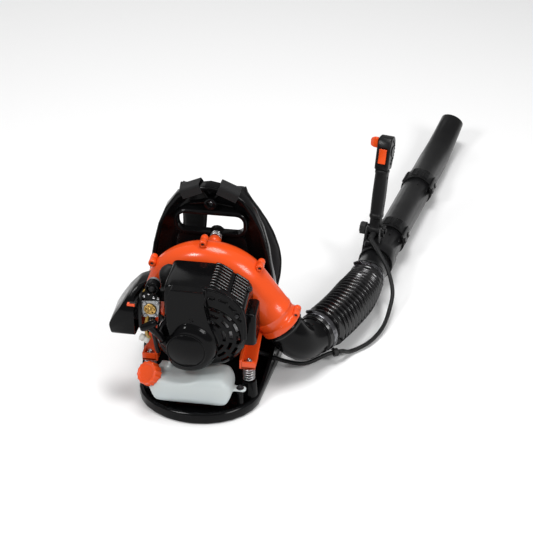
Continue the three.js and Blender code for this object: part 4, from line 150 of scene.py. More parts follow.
# throttle cable
CLIP_CENTRE = Vector((267.76, 103.79, 27))
CLIP_AXIS = Vector((0.86, 0.5, -0.05)).normalized()
CABLE_FIXED = ((80, 8, 116), (94, 30, 70), (124, 52, 44), (166, 60, 24), (206, 66, 18))
CABLE_LOOP = (
    (296, 134, 10), (332, 172, 9), (358, 226, 13), (369, 284, 26), (371, 326, 46), (355, 362, 80),
    (333, 392, 101),
)
CABLE_STEPS, CABLE_SPLITS, CABLE_DROP = 75, (0, 0.34, 0.68, 1), 6

# handle and pipe joints
HANDLE_PIVOT, HANDLE_LEAN = Vector((-18, 116, 60)), 17
HANDLE_SCREWS = ((16.2, 6, 158), (16.2, 8, 196), (13.7, 0, 60), (13.7, 0, 124))
HEAD_HALF, HEAD_Z = 16, 186
CRUISE_TAB = ((-9, 192), (6, 192), (8, 200), (4, 212), (-6, 217), (-12, 214))
TRIGGER_GAP, TRIGGER_TOP, GRIP_BACK = 8.6, 74, 15.4
GRIP_RINGS = (
    (29, -1.4), (30, 0.6), (33, 1.4), (37, 1.4), (38, 0.6), (41, 0.4), (60, 0.9), (74, 1.1),
    (75, 1.1), (90, 1.2), (120, 0.8), (134, 0.6), (136, 1.6), (141, 1.6), (142.4, 0.8), (142.5, -1),
)
SADDLE = ((-15, 34), (15, 34), (12.6, 44), (11, 47), (-11, 47), (-12.6, 44))
BELL_RADIUS = 39.6
BELLS = (("pipe", 180, "pipe", "wand"), ("nozzle", 435, "outlet", "pipe"))
BELL_RIBS, BELL_MARKS, LATCH_ANGLE = (66, 104, 150), (74, 30), 14

# harness
STRAP_X, STRAP_WIDTH, STRAP_TILT, STRAP_DROP, STRAP_Z = 42, 44, 24, 18, 417
PLATE_BACK, PLATE_RIM_DEPTH = 122, 26
PAD_WIDTH, PAD_WALL, PAD_STEPS = 62, 16, 60
PADS = {
    "left": (
        (-40, 139, 399.4), (-47, 158, 372), (-46, 172, 324), (-50, 176, 268), (-64, 170, 200),
        (-82, 158, 140)),
    "right": (
        (41, 139, 400.4), (46, 158, 371), (72, 172, 322), (98, 176, 266), (115, 168, 200),
        (106, 156, 140)),
}
LOWER_STRAPS = {
    "left": (
        (-82.2, 157.8, 139.4), (-92, 150, 108), (-99, 136, 74), (-101, 127.2, 60), (-102, 123.9, 44)),
    "right": (
        (105.9, 155.8, 139.4), (102, 149, 106), (103, 136, 74), (104, 127.2, 60), (104, 123.9, 44)),
}
CUSHION_WIDTH, CUSHION_HEIGHT, CUSHION_Z, CUSHION_CORNER = 196, 170, 180, 26
CUSHION_FRONT, CUSHION_BACK = 122.3, 140
CUSHION_SEAMS, SEAM_HALF, SEAM_DEPTH = (137, 180, 223), 6, 4.2
CLOTH_VOXEL, CLOTH_PRESSURE, CLOTH_FRAMES = 4.5, 4, 20

# finish of each piece that the model itself gives
NODE_LOOKS = {
    "gloss_black": (
        "frame", "starter_housing", "starter_grip", "cylinder_cover", "air_cleaner_cover", "elbow",
        "muffler_guard",
    ),
    "satin_black": (
        "inlet_grille", "impeller", "recoil_pulley", "air_filter_base", "fuel_line", "swivel_pipe",
        "blower_pipe", "nozzle", "handle_bracket", "handle_head", "trigger",
    ),
    "grained_black": ("handle_stem",),
    "black_rubber": (
        "choke_lever", "spark_plug", "insulator", "purge_bulb", "cable_clip", "handle_knob",
    ),
    "orange_shell": ("stop_switch", "cruise_lever"),
    "alloy": ("flywheel", "crankcase", "cylinder", "carburettor"),
    "bright_steel": ("crankshaft", "muffler", "throttle_lever"),
    # clamp bands carry a painted dark reflection in their base colour
    "band_steel_painted_reflection": ("clamp_elbow", "clamp_pipe"),
    "filter_foam": ("air_filter",),
}
EDGE_SHARE = {
    "frame": 1.6, "cylinder_cover": 2, "clamp_elbow": 0.3, "clamp_pipe": 0.3, "throttle_lever": 0.4,
}

# photograph's viewpoint and its studio
CAMERA_PLACE = (0.5500, -2.7241, 2.1647)
CAMERA_RIGHT = Vector((0.98849, 0.15126, 0))
CAMERA_UP = Vector((-0.08458, 0.55276, 0.82904))
CAMERA_LENS, CAMERA_SENSOR, CAMERA_REACH = 110.97, 36, 50
FLOOR_HALF, FLOOR_DROP, WORLD_LIGHT = 9, 0.0006, 0.3
LAMP_AIM = Vector((0.1, 0.2, 0.2))
LAMPS = (
    ("key softbox", (-1.5, -1.9, 2.7), 0.75, 46),
    ("overhead softbox", (0.2, 0.3, 3.3), 1.3, 62),
    ("side softbox", (2.3, -1.3, 2.2), 1.0, 44),
    ("back strip", (-1.6, 2.6, 2.4), 1.6, 9),
)


# ------------------------------------------------------------------ curves and skins

def spline(points, count):
    """Centripetal curve through points, as count + 1 places evenly spaced along it."""
    points = [Vector(p) for p in points]
    ends = [points[0] * 2 - points[1]] + points + [points[-1] * 2 - points[-2]]
    dense = []
    for a, b, c, d in zip(ends, ends[1:], ends[2:], ends[3:]):
        ta, tb, tc = ((q - p).length ** 0.5 for p, q in ((a, b), (b, c), (c, d)))
        start = ((b - a) / ta - (c - a) / (ta + tb) + (c - b) / tb) * tb
        end = ((c - b) / tb - (d - b) / (tb + tc) + (d - c) / tc) * tb
        for i in range(40):
            t = i / 40
            square = (c * 3 - b * 3 - start * 2 - end) * t * t
            dense.append(b + start * t + square + (b * 2 - c * 2 + start + end) * t ** 3)
    dense.append(points[-1])
    total = travelled(dense)
    return [place_on(dense, total, total[-1] * i / count)[0] for i in range(count + 1)]


def bezier(a, b, c, d, count):
    """Places on a cubic curve."""
    return [
        a * (1 - t) ** 3 + b * 3 * t * (1 - t) ** 2 + c * 3 * t * t * (1 - t) + d * t ** 3
        for t in (i / count for i in range(count + 1))
    ]


def travelled(points):
    """Distance travelled at each point of a line."""
    total = [0.0]
    for a, b in zip(points, points[1:]):
        total.append(total[-1] + (b - a).length)
    return total


def place_on(points, total, distance):
    """Place and direction at a distance along a line."""
    distance = min(max(distance, 0), total[-1])
    low, high = 0, len(total) - 1
    while high - low > 1:
        middle = (low + high) // 2
        if total[middle] <= distance:
            low = middle
        else:
            high = middle
    span = total[high] - total[low] or 1
    share = (distance - total[low]) / span
    return points[low].lerp(points[high], share), (points[high] - points[low]).normalized()


def turns(count):
    """Angles of even steps round a circle."""
    return [j / count * math.tau for j in range(count)]


def arc(cx, cy, radius, start, end, steps):
    """Places on an arc, angles in degrees."""
    angles = (math.radians(start + (end - start) * i / steps) for i in range(steps + 1))
    return [(cx + radius * math.cos(a), cy + radius * math.sin(a)) for a in angles]


def square_to(axis):
    """Function from an angle to the direction at that angle round an axis."""
    side = axis.orthogonal().normalized()
    other = axis.cross(side)
    return lambda a: side * math.cos(a) + other * math.sin(a)


def frames(line, across=RIGHT):
    """Place, sideways and outward directions at each point of a line."""
    for i, centre in enumerate(line):
        ahead = (line[min(i + 1, len(line) - 1)] - line[max(i - 1, 0)]).normalized()
        side = (across - ahead * across.dot(ahead)).normalized()
        yield centre, side, ahead.cross(side).normalized()


def circles(points, stations, sides, normal=UP):
    """Rings square to a line at stations of (distance, radius)."""
    total = travelled(points)
    rings = []
    for distance, radius in stations:
        centre, line = place_on(points, total, distance)
        normal = (normal - line * normal.dot(line)).normalized()
        across = line.cross(normal)
        rings.append([
            centre + normal * radius * math.cos(a) + across * radius * math.sin(a) for a in turns(sides)
        ])
    return rings


def skin(rings, closed=False):
    """Points and faces over rings; closed joins the last ring to the first, otherwise ends get caps."""
    sides = len(rings[0])
    faces = []
    for i in range(len(rings) if closed else len(rings) - 1):
        a, b = i * sides, (i + 1) % len(rings) * sides
        faces += [(a + j, a + (j + 1) % sides, b + (j + 1) % sides, b + j) for j in range(sides)]
    if not closed:
        last = (len(rings) - 1) * sides
        faces += [tuple(reversed(range(sides))), tuple(range(last, last + sides))]
    return [p for ring in rings for p in ring], faces


def rope(line, radius, steps, sides, normal=UP):
    """Points and faces of a cord of one radius along a line."""
    total = travelled(line)[-1]
    return skin(circles(line, [(total * i / steps, radius) for i in range(steps + 1)], sides, normal))


def turned(profile, at, axis, sides):
    """Points and faces of a profile of (radius, height) turned about an axis through a place."""
    axis = axis.normalized()
    out = square_to(axis)
    return skin([[at + axis * h + out(a) * max(r, CORE) for a in turns(sides)] for r, h in profile])


def button(at, axis, radius, foot, rim, top, bevel, sides):
    """Points and faces of a round boss with a bevelled rim."""
    profile = [(CORE, foot), (radius, foot), (radius, rim), (radius - bevel, top), (CORE, top)]
    return turned(profile, at, axis, sides)


def ribbed(profile, at, axis, ribs, depth, sides_per_rib):
    """Like turned, with ribs round the rim; each profile point's third number is their share of it."""
    out = square_to(axis)
    rings = []
    for r, h, share in profile:
        rings.append([
            at + axis * h + out(a) * (r - depth * share * (0.5 - 0.5 * math.cos(ribs * a)) ** 0.6)
            for a in turns(ribs * sides_per_rib)
        ])
    return skin(rings)


def hoop(profile, at, sides):
    """Points and faces of a closed profile of (radius, y) turned about the y axis."""
    return skin([
        [at + Vector((r * math.cos(a), y, r * math.sin(a))) for r, y in profile] for a in turns(sides)
    ], closed=True)


def prism(outline, low, high):
    """Points and faces of a (y, z) outline pushed along x."""
    return skin([[Vector((x, y, z)) for y, z in outline] for x in (low, high)])


def outlined(outline, levels):
    """Points and faces of an (x, z) outline at levels of (y, inset), back to front."""
    rings = []
    for y, inset in levels:
        ring = []
        for i, (x, z) in enumerate(outline):
            (ax, az), (bx, bz) = outline[i - 1], outline[(i + 1) % len(outline)]
            way = Vector((bx - ax, 0, bz - az)).normalized()
            ring.append(Vector((x, y, z)) + Vector((-way.z, 0, way.x)) * inset)
        rings.append(ring)
    return skin(rings)


def bar(low, high):
    """Points and faces of a box between two corners."""
    (a, b, c), (d, e, f) = low, high
    points = [
        Vector(p) for p in (
            (a, b, c), (d, b, c), (d, e, c), (a, e, c), (a, b, f), (d, b, f), (d, e, f), (a, e, f))
    ]
    return points, [
        (0, 3, 2, 1), (4, 5, 6, 7), (0, 1, 5, 4), (1, 2, 6, 5), (2, 3, 7, 6), (3, 0, 4, 7),
    ]


def screw(at, axis, radius, height):
    """Points and faces of a pan head screw with a six-sided socket."""
    axis = axis.normalized()
    out = square_to(axis)
    sixth = math.pi / 3

    def ring(size, lift, hexed=False):
        return [
            at + axis * lift
            + out(a) * (size / math.cos((a + sixth / 2) % sixth - sixth / 2) if hexed else size)
            for a in turns(24)
        ]

    return skin([
        ring(radius, -1), ring(radius, height * 0.6), ring(radius * 0.86, height * 0.93),
        ring(radius * 0.7, height), ring(radius * 0.46, height, True),
        ring(radius * 0.42, height * 0.3, True), ring(CORE, height * 0.3),
    ])


def washer(at, axis, radius):
    return button(at, axis, radius, -0.4, 0.5, 0.9, 0.5, 32)


def moved(part, matrix):
    points, faces = part
    return [matrix @ p for p in points], faces


# ------------------------------------------------------------------ mesh objects

def linked(name, data):
    made = bpy.data.objects.new(name, data)
    bpy.context.scene.collection.objects.link(made)
    return made


def solid(name, points, faces, smooth=True):
    """Mesh object from millimetre points, with its faces turned outwards."""
    mesh = bpy.data.meshes.new(name)
    mesh.from_pydata([tuple(p * MM) for p in points], [], faces)
    work = bmesh.new()
    work.from_mesh(mesh)
    bmesh.ops.remove_doubles(work, verts=work.verts, dist=1e-6)
    bmesh.ops.recalc_face_normals(work, faces=work.faces)
    work.to_mesh(mesh)
    work.free()
    for polygon in mesh.polygons:
        polygon.use_smooth = smooth
    return linked(name, mesh)


def gathered(name, parts):
    """One object from several (points, faces) parts."""
    points, faces = [], []
    for some, more in parts:
        shift = len(points)
        points += some
        faces += [tuple(i + shift for i in face) for face in more]
    return solid(name, points, faces)


def modifier(made, kind, **settings):
    added = made.modifiers.new(kind.lower(), kind)
    for name, value in settings.items():
        setattr(added, name, value)
    return added


def rounded(made, width, segments=3):
    """Rounded edges on an object, in millimetres."""
    modifier(
        made, "BEVEL", width=width * MM, segments=segments, limit_method="ANGLE",
        angle_limit=math.radians(30), harden_normals=True,
    )
    return made


def applied(made):
    """The object with its modifiers worked into its mesh."""
    graph = bpy.context.evaluated_depsgraph_get()
    mesh = bpy.data.meshes.new_from_object(made.evaluated_get(graph))
    made.modifiers.clear()
    made.data = mesh
    for polygon in mesh.polygons:
        polygon.use_smooth = True
    return made


def melted(made, voxel, rounds):
    """Closed parts grown into one moulding with soft edges."""
    modifier(made, "REMESH", mode="VOXEL", voxel_size=voxel * MM)
    modifier(made, "SMOOTH", factor=0.5, iterations=rounds)
    return applied(made)


def sink(made, slots):
    """Slots of (x, z, half length, half width, angle) pressed into the front of a moulding."""
    for vertex in made.data.vertices:
        if vertex.co.y / MM > SLOT_FRONT:
            continue
        deepest = 0
        for x, z, half, width, angle in slots:
            turn = math.radians(angle)
            dx, dz = vertex.co.x / MM - x, vertex.co.z / MM - z
            along = dx * math.cos(turn) + dz * math.sin(turn)
            off = dz * math.cos(turn) - dx * math.sin(turn)
            far = math.hypot(max(abs(along) - half + width, 0), off) - width
            deepest = max(deepest, min(max(0.5 - far / SLOT_SLOPE, 0), 1))
        vertex.co.y += SLOT_DEPTH * MM * deepest


def swollen(made, limit):
    """The piece puffed up by cloth pressure, no point moving further than the limit."""
    modifier(made, "REMESH", mode="VOXEL", voxel_size=CLOTH_VOXEL * MM)
    applied(made)
    rest = [v.co.copy() for v in made.data.vertices]
    cloth = modifier(made, "CLOTH")
    cloth.settings.effector_weights.gravity = 0
    cloth.settings.use_pressure = True
    cloth.settings.uniform_pressure_force = CLOTH_PRESSURE
    cloth.settings.tension_stiffness = cloth.settings.compression_stiffness = 12
    cloth.point_cache.frame_start, cloth.point_cache.frame_end = 1, CLOTH_FRAMES
    scene = bpy.context.scene
    for i in range(CLOTH_FRAMES):
        scene.frame_set(i + 1)
    graph = bpy.context.evaluated_depsgraph_get()
    puffed = [v.co.copy() for v in made.evaluated_get(graph).data.vertices]
    scene.frame_set(1)
    made.modifiers.clear()
    for vertex, old, new in zip(made.data.vertices, rest, puffed):
        step = new - old
        if step.length > limit:
            step *= limit / step.length
        vertex.co = old + step
    modifier(made, "SUBSURF", levels=1, render_levels=1)
    return applied(made)


def against(made, run, proud):
    """Places moved onto the surface of a piece, standing proud of it, in a smooth line."""
    seated = []
    for place in run:
        nearest = made.closest_point_on_mesh(place * MM)[1] / MM
        seated.append(nearest + (place - nearest).normalized() * proud)
    for _ in range(3):
        inner = [(a + b * 2 + c) / 4 for a, b, c in zip(seated, seated[1:], seated[2:])]
        seated = [seated[0], *inner, seated[-1]]
    return seated


def stitches(run, pitch=5.2, length=3.3, girth=0.5):
    """Points and faces of a row of stitches along a line."""
    parts = []
    for i in range(int(travelled(run)[-1] / pitch)):
        at = i * pitch
        parts.append(skin(circles(run, [
            (at, girth * 0.3), (at + length * 0.2, girth), (at + length * 0.8, girth),
            (at + length, girth * 0.3),
        ], 6)))
    return parts


def band(name, points, section, steps, across=RIGHT):
    """Section of (across, out) swept along a curve."""
    return solid(name, *skin([
        [centre + side * a + out * b for a, b in section]
        for centre, side, out in frames(spline(points, steps), across)
    ]))


def weave(line, half, wall, name, steps, across=RIGHT):
    """Flat webbing with round edges and a thicker selvedge."""
    edge = [(half - 2, 0.46), (half - 0.6, 0.5), (half, 0.3)]
    upper = [(a, wall * b) for a, b in reversed(edge)] + [(-a, wall * b) for a, b in edge]
    return band(name, line, [(-a, -b) for a, b in upper] + upper, steps, across)


# ------------------------------------------------------------------ places on the blower

def duct_at(degrees):
    """Radius of the case's duct at an angle round the fan."""
    share = min((VOLUTE_START - degrees) / (VOLUTE_START - VOLUTE_END), 1)
    return START_DUCT + (DUCT_RADIUS - START_DUCT) * share


def fan_place(degrees, reach):
    a = math.radians(degrees)
    return FAN + Vector((reach * math.cos(a), 0, reach * math.sin(a)))


def hose_line():
    start = HOSE_START + HOSE_IN * 30
    end = WAND_ORIGIN - WAND_LINE * 18
    pull = (end - start).length / 3
    curve = bezier(start, start + HOSE_IN * pull, end - WAND_LINE * pull, end, 90)
    return [HOSE_START] + curve + [WAND_ORIGIN + WAND_LINE * 12]


def clip_at(distance):
    return CLIP_CENTRE + CLIP_AXIS * distance


def turn_about(degrees, axis):
    return Matrix.Rotation(math.radians(degrees), 4, axis)


wand_turn = turn_about(-WAND_TURN, "Z") @ turn_about(-WAND_DIP, "X")
WAND = Matrix.Translation(WAND_ORIGIN) @ wand_turn
WAND_LINE = (wand_turn @ BACK).normalized()
WAND_RIGHT = (WAND.to_3x3() @ RIGHT).normalized()
HANDLE = WAND @ Matrix.Translation(HANDLE_PIVOT) @ turn_about(-HANDLE_LEAN, "X")
HANDLE_RIGHT = (HANDLE.to_3x3() @ RIGHT).normalized()

outlet_angle = math.radians(VOLUTE_END)
FLOW = Vector((math.sin(outlet_angle), 0, -math.cos(outlet_angle)))
OUTWARD = Vector((math.cos(outlet_angle), 0, math.sin(outlet_angle)))
OUTLET = fan_place(VOLUTE_END, VOLUTE_CORE + DUCT_RADIUS)


# ------------------------------------------------------------------ finishes

class Number:
    """A shader value: sums on it add Math nodes."""

    def __init__(self, finish, socket):
        self.finish, self.socket = finish, socket

    def maths(self, operation, *values):
        made = self.finish.node("ShaderNodeMath", {"operation": operation}, dict(enumerate(values)))
        return Number(self.finish, made.outputs[0])

    def __add__(self, other):
        return self.maths("ADD", self, other)

    def __sub__(self, other):
        return self.maths("SUBTRACT", self, other)

    def __rsub__(self, other):
        return self.maths("SUBTRACT", other, self)

    def __mul__(self, other):
        return self.maths("MULTIPLY", self, other)

    __radd__, __rmul__ = __add__, __mul__

    def above(self, low, high):
        """0 below low, 1 above high, smooth between."""
        made = self.finish.node(
            "ShaderNodeMapRange", {"interpolation_type": "SMOOTHSTEP"}, {"Value": self, 1: low, 2: high}
        )
        return Number(self.finish, made.outputs["Result"])

    def wave(self):
        return self.maths("SINE", self)


class Finish:
    """A surface finish being built on one principled shader."""

    def __init__(self, name, colour, roughness, **constants):
        self.material = bpy.data.materials.new(name)
        self.material.use_nodes = True
        self.tree = self.material.node_tree
        self.shader = self.tree.nodes["Principled BSDF"]
        self.material.diffuse_color = (*colour, 1)
        self.colour = colour
        self.fill(self.shader, {"Base Color": (*colour, 1), "Roughness": roughness, **constants})

    def node(self, kind, settings=None, sockets=None):
        made = self.tree.nodes.new(kind)
        for name, value in (settings or {}).items():
            setattr(made, name, value)
        self.fill(made, sockets or {})
        return made

    def fill(self, made, sockets):
        for name, value in sockets.items():
            value = value.socket if isinstance(value, Number) else value
            if isinstance(value, bpy.types.NodeSocket):
                self.tree.links.new(value, made.inputs[name])
            else:
                made.inputs[name].default_value = value

    def place(self):
        """Place on the piece in metres, as a socket."""
        return self.node("ShaderNodeTexCoord").outputs["Object"]

    def axes(self):
        """The three coordinates in millimetres."""
        split = self.node("ShaderNodeSeparateXYZ", {}, {"Vector": self.place()})
        return [Number(self, out) * 1000 for out in split.outputs]

    def grain(self, scale, detail=3, roughness=0.55, stretch=(1, 1, 1)):
        """Noise over the piece, about 0.5 on average; the scale is per metre."""
        where = self.node("ShaderNodeVectorMath", {"operation": "MULTIPLY"}, {0: self.place(), 1: stretch})
        made = self.node("ShaderNodeTexNoise", {}, {
            "Vector": where.outputs[0], "Scale": scale, "Detail": detail, "Roughness": roughness,
        })
        return Number(self, made.outputs["Fac"])

    def cells(self, scale):
        made = self.node("ShaderNodeTexVoronoi", {}, {"Vector": self.place(), "Scale": scale})
        return Number(self, made.outputs["Distance"])

    def facing_up(self):
        """Height part of the surface's direction."""
        normal = self.node("ShaderNodeNewGeometry").outputs["Normal"]
        return Number(self, self.node("ShaderNodeSeparateXYZ", {}, {"Vector": normal}).outputs["Z"])

    def tint(self, mask, shade):
        """Base colour turning into a shade where the mask is 1."""
        colours = {6: (*self.colour, 1), 7: (*shade, 1)}
        made = self.node("ShaderNodeMix", {"data_type": "RGBA"}, {"Factor": mask, **colours})
        self.fill(self.shader, {"Base Color": made.outputs[2]})

    def relief(self, height, depth):
        """Bump of a height value, its full range being depth millimetres."""
        made = self.node("ShaderNodeBump", {}, {"Height": height, "Distance": depth * MM, "Strength": 1.0})
        self.fill(self.shader, {"Normal": made.outputs["Normal"]})
        return self

    def rough(self, value):
        self.fill(self.shader, {"Roughness": value})
        return self


SPECULAR = "Specular IOR Level"


def moulded(name, colour, roughness, speck, depth, scuffs, constants):
    """Moulded plastic: fine spark-eroded grain, slow shade changes, dust on top and light scuffs."""
    made = Finish(name, colour, roughness, **constants)
    fine = made.grain(speck, 2)
    slow = made.grain(14)
    scratch = made.grain(160, 4, 0.7, (1, 0.25, 3)).above(0.6, 0.72)
    dust = made.facing_up().above(0.2, 1) * slow.above(0.35, 0.75)
    made.tint(dust * scuffs + scratch * (scuffs * 0.35), [min(1, c * 0.86 + 0.008) for c in colour])
    made.rough(fine * 0.06 + slow * 0.1 + scratch * 0.08 + dust * 0.08 + (roughness - 0.1))
    return made.relief(fine + slow * 0.8, depth)


def worn(name, colour, roughness, grains, stain, uneven, bump, constants):
    """Surface with one or two noises: the last stains it, all roughen it, one is its relief."""
    made = Finish(name, colour, roughness, **constants)
    grains = [made.grain(*grain) for grain in grains]
    if stain:
        low, high, share, shade = stain
        made.tint(grains[-1].above(low, high) * share, shade)
    smoothest, *weights = uneven
    made.rough(sum((grain * weight for grain, weight in zip(grains, weights)), smoothest))
    which, depth = bump
    return made.relief(grains[which], depth)


def grained_black(look):
    """Grip surfaces: leather-like mould grain."""
    made = moulded("grained black grip", look.satin, 0.45, 1500, 0.05, 0.3, {SPECULAR: 0.2})
    return made.relief(made.cells(650), 0.12)


def natural_tank(look):
    """Milky plastic, darker towards the bottom, with slow random tone changes."""
    made = Finish("natural polyethylene", look.tank, 0.36, **{
        "Subsurface Weight": 0.35, "Subsurface Radius": (0.02, 0.022, 0.024), "Subsurface Scale": 0.6,
        "Transmission Weight": 0.08, "Coat Weight": 0.1,
    })
    fine = made.grain(380, 2)
    slow = made.grain(18)
    # mask that darkens and blues the lower part of the tank
    below = 1 - made.axes()[2].above(38, 74)
    made.tint(below * 0.4 + slow * 0.18, (0.5, 0.57, 0.6))
    made.rough(fine * 0.1 + slow * 0.14 + 0.26)
    return made.relief(fine + slow * 2, 0.09)


def webbing(look):
    """Woven polyester: crossing yarns and a heavier run along the strap."""
    made = Finish("woven webbing", look.cloth, 0.8, **{
        "Sheen Weight": 0.06, "Sheen Roughness": 0.5, SPECULAR: 0.2,
    })
    across, out, up = made.axes()
    yarn = (across * 4.2).wave() * (up * 4.2 + out * 4.2).wave()
    twill = ((across + up + out) * 2.1).wave()
    fuzz = made.grain(900)
    made.tint(fuzz.above(0.4, 0.75) * 0.6, [min(1, c * 1.8 + 0.006) for c in look.cloth])
    made.rough(fuzz * 0.2 + 0.66)
    return made.relief(yarn * 0.6 + twill * 0.4 + fuzz, 0.16)


def thread(look):
    """Twisted sewing thread."""
    made = Finish("sewing thread", look.thread, 0.55, **{SPECULAR: 0.3})
    across, out, up = made.axes()
    made.rough(made.grain(300, 2) * 0.2 + 0.45)
    return made.relief(((across + out + up) * 14).wave() + made.grain(900, 2), 0.2)


def padding(look):
    """Spacer mesh over foam: small round openings in rows."""
    made = Finish("mesh cloth over foam", look.padding, 0.85, **{
        "Sheen Weight": 0.1, "Sheen Roughness": 0.6, SPECULAR: 0.2,
    })
    across, out, up = made.axes()
    hole = ((across * 2.1).wave() * ((up + out * 0.5) * 2.1).wave()).above(0.25, 0.8)
    fuzz = made.grain(700)
    made.tint(hole * 0.85, [c * 0.3 for c in look.padding])
    made.rough(fuzz * 0.15 + 0.75)
    return made.relief(fuzz * 0.5 - hole, 0.35)


def filter_foam(look):
    made = Finish("open-cell foam", (0.05, 0.05, 0.055), 0.95)
    pores = made.cells(900)
    made.tint(pores.above(0.1, 0.5) * 0.7, (0.012, 0.012, 0.013))
    made.rough(pores * 0.1 + 0.85)
    return made.relief(pores, 0.8)


def clear_tube(look):
    made = Finish(
        "amber fuel tube", (0.55, 0.36, 0.08), 0.25, **{"Transmission Weight": 0.25, "Coat Weight": 0.3}
    )
    slow = made.grain(60)
    made.tint(slow * 0.5, (0.35, 0.2, 0.03))
    made.rough(slow * 0.2 + 0.18)
    return made.relief(slow, 0.03)


def floor_paint(look):
    made = Finish("pale studio floor", look.floor, 0.7)
    slow = made.grain(3)
    made.tint(slow * 0.1, [c * 0.97 for c in look.floor])
    return made.rough(slow * 0.1 + 0.65)


SPECIAL = {
    "grained_black": grained_black, "natural_tank": natural_tank, "webbing": webbing, "thread": thread,
    "padding": padding, "filter_foam": filter_foam, "clear_tube": clear_tube, "floor": floor_paint,
}
# name, colour, roughness, specks per metre, relief, scuffs
MOULDED = {
    "orange_shell": ("orange moulded case", "case", 0.22, 700, 0.02, 0.3, {
        "Coat Weight": 0.12, "Coat Roughness": 0.06, SPECULAR: 0.3}),
    "gloss_black": ("gloss black nylon", "gloss", 0.14, 420, 0.03, 0.2, {SPECULAR: 0.11}),
    "satin_black": ("satin black plastic", "satin", 0.32, 1100, 0.05, 0.25, {SPECULAR: 0.2}),
    "pale_cap": ("pale plastic", (0.6, 0.6, 0.56), 0.35, 600, 0.03, 0.3, {}),
}
# name, colour, roughness, grains, stain, least roughness with each grain's share, relief
WORN = {
    "black_rubber": (
        "black rubber", "rubber", 0.5, ((1400, 3), (22, 3)), (0.45, 0.8, 0.5, (0.02, 0.0195, 0.019)),
        (0.38, 0.15, 0.15), (0, 0.05), {SPECULAR: 0.25}),
    "hose_black": (
        "ribbed hose plastic", "gloss", 0.22, ((500, 2), (30, 3)), None,
        (0.14, 0.04, 0.08), (1, 0.04), {SPECULAR: 0.6}),
    "alloy": (
        "cast aluminium", "alloy", 0.42, ((260, 4, 0.65), (35, 4)), (0.5, 0.8, 0.45, (0.22, 0.2255, 0.231)),
        (0.26, 0.25, 0.15), (0, 0.18), {"Metallic": 0.95}),
    "bright_steel": (
        "zinc plated steel", "steel", 0.25, ((600, 3, 0.6, (1, 1, 6)), (40, 3)),
        (0.5, 0.85, 0.3, (0.42, 0.4, 0.33)), (0.14, 0.14, 0.14), (0, 0.02), {"Metallic": 1.0}),
    # clamp bands: the base colour is kept dark as a painted dark reflection of the surroundings; the grain
    # darkens it further in patches
    "band_steel_painted_reflection": (
        "darkened clamp band", (0.16, 0.16, 0.17), 0.24, ((70, 3),), (0.45, 0.7, 0.8, (0.05, 0.05, 0.052)),
        (0.14, 0.2), (0, 0.04), {"Metallic": 1.0}),
    "dark_steel": (
        "blackened screws", (0.03, 0.03, 0.032), 0.35, ((900, 2),), None,
        (0.28, 0.2), (0, 0.03), {"Metallic": 0.8}),
    "brass": (
        "brass", (0.62, 0.4, 0.13), 0.3, ((90, 4),), (0.45, 0.8, 0.6, (0.3, 0.17, 0.05)),
        (0.18, 0.3), (0, 0.05), {"Metallic": 1.0}),
}
made_finishes = {}


def finish(name):
    """The finish of that name, made once."""
    if name not in made_finishes:
        look = bpy.context.scene.blower_look
        if name in SPECIAL:
            made = SPECIAL[name](look)
        else:
            build, (label, colour, *rest) = (
                (moulded, MOULDED[name]) if name in MOULDED else (worn, WORN[name])
            )
            colour = tuple(getattr(look, colour)) if isinstance(colour, str) else colour
            made = build(label, colour, *rest)
        made_finishes[name] = made.material
    return made_finishes[name]


def dress(made, look, body="machine", replaces=()):
    """Finish and body of a new piece, and the model's pieces that it stands for."""
    made.data.materials.clear()
    made.data.materials.append(finish(look))
    if body:
        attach(made, body)
    if replaces:
        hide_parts(*replaces)
    return made


# ------------------------------------------------------------------ sizes and colours

def shade(name, description, default):
    return FloatVectorProperty(
        name=name, description=description, default=default, subtype="COLOR", size=3, min=0, max=1
    )


def size(name, description, default):
    return FloatProperty(name=name, description=description, default=default, unit="LENGTH", min=0)


class BlowerLook(bpy.types.PropertyGroup):
    """Colours of the blower's finishes"""

    case: shade("Case", "Moulded fan case, fuel cap, lever and switch", (0.74, 0.075, 0.011))
    gloss: shade("Gloss black", "Back frame, tray, starter, covers and hose", (0.003, 0.003, 0.0033))
    satin: shade("Satin black", "Pipes, grille, filter base and handle", (0.006, 0.006, 0.0064))
    rubber: shade("Rubber", "Cable sheath, boots and bulb", (0.009, 0.009, 0.0095))
    tank: shade("Fuel tank", "Natural polyethylene", (0.55, 0.59, 0.585))
    cloth: shade("Webbing", "Woven straps", (0.007, 0.007, 0.0075))
    thread: shade("Thread", "Seams of the pads and webbing", (0.075, 0.075, 0.08))
    padding: shade("Padding", "Mesh cloth of the pads", (0.014, 0.014, 0.015))
    alloy: shade("Alloy", "Cast engine parts", (0.4, 0.41, 0.42))
    steel: shade("Steel", "Springs and bright screws", (0.46, 0.46, 0.47))
    floor: shade("Floor", "Studio floor", (0.92, 0.92, 0.92))


class BlowerSizes(bpy.types.PropertyGroup):
    """Sizes of the pieces that are finer than the model's solids"""

    edge: size("Moulded edge", "Rounding of moulded edges", 0.0009)
    hose_peak: size("Hose ridge", "Radius of the ribbed hose over its ridges", 0.0495)
    hose_valley: size("Hose valley", "Radius of the ribbed hose between ridges", 0.0415)
    hose_folds: IntProperty(name="Hose folds", description="Ridges along the ribbed hose", default=16, min=4)
    cable: size("Cable", "Radius of the throttle cable's sheath", 0.0046)
    spring_turns: IntProperty(name="Spring turns", description="Turns of a tray spring", default=5, min=2)
    spring_wire: size("Spring wire", "Radius of the spring wire", 0.0016)
    cap_ribs: IntProperty(name="Cap ribs", description="Grip ribs on the fuel cap", default=14, min=6)
    seam: size("Case seam", "Depth of the joint line of the case", 0.0007)
    strap_wall: size("Webbing", "Thickness of the strap webbing", 0.0024)
    pad_swell: size("Pad swell", "How far cloth pressure may puff a pad", 0.004)


# ------------------------------------------------------------------ stage

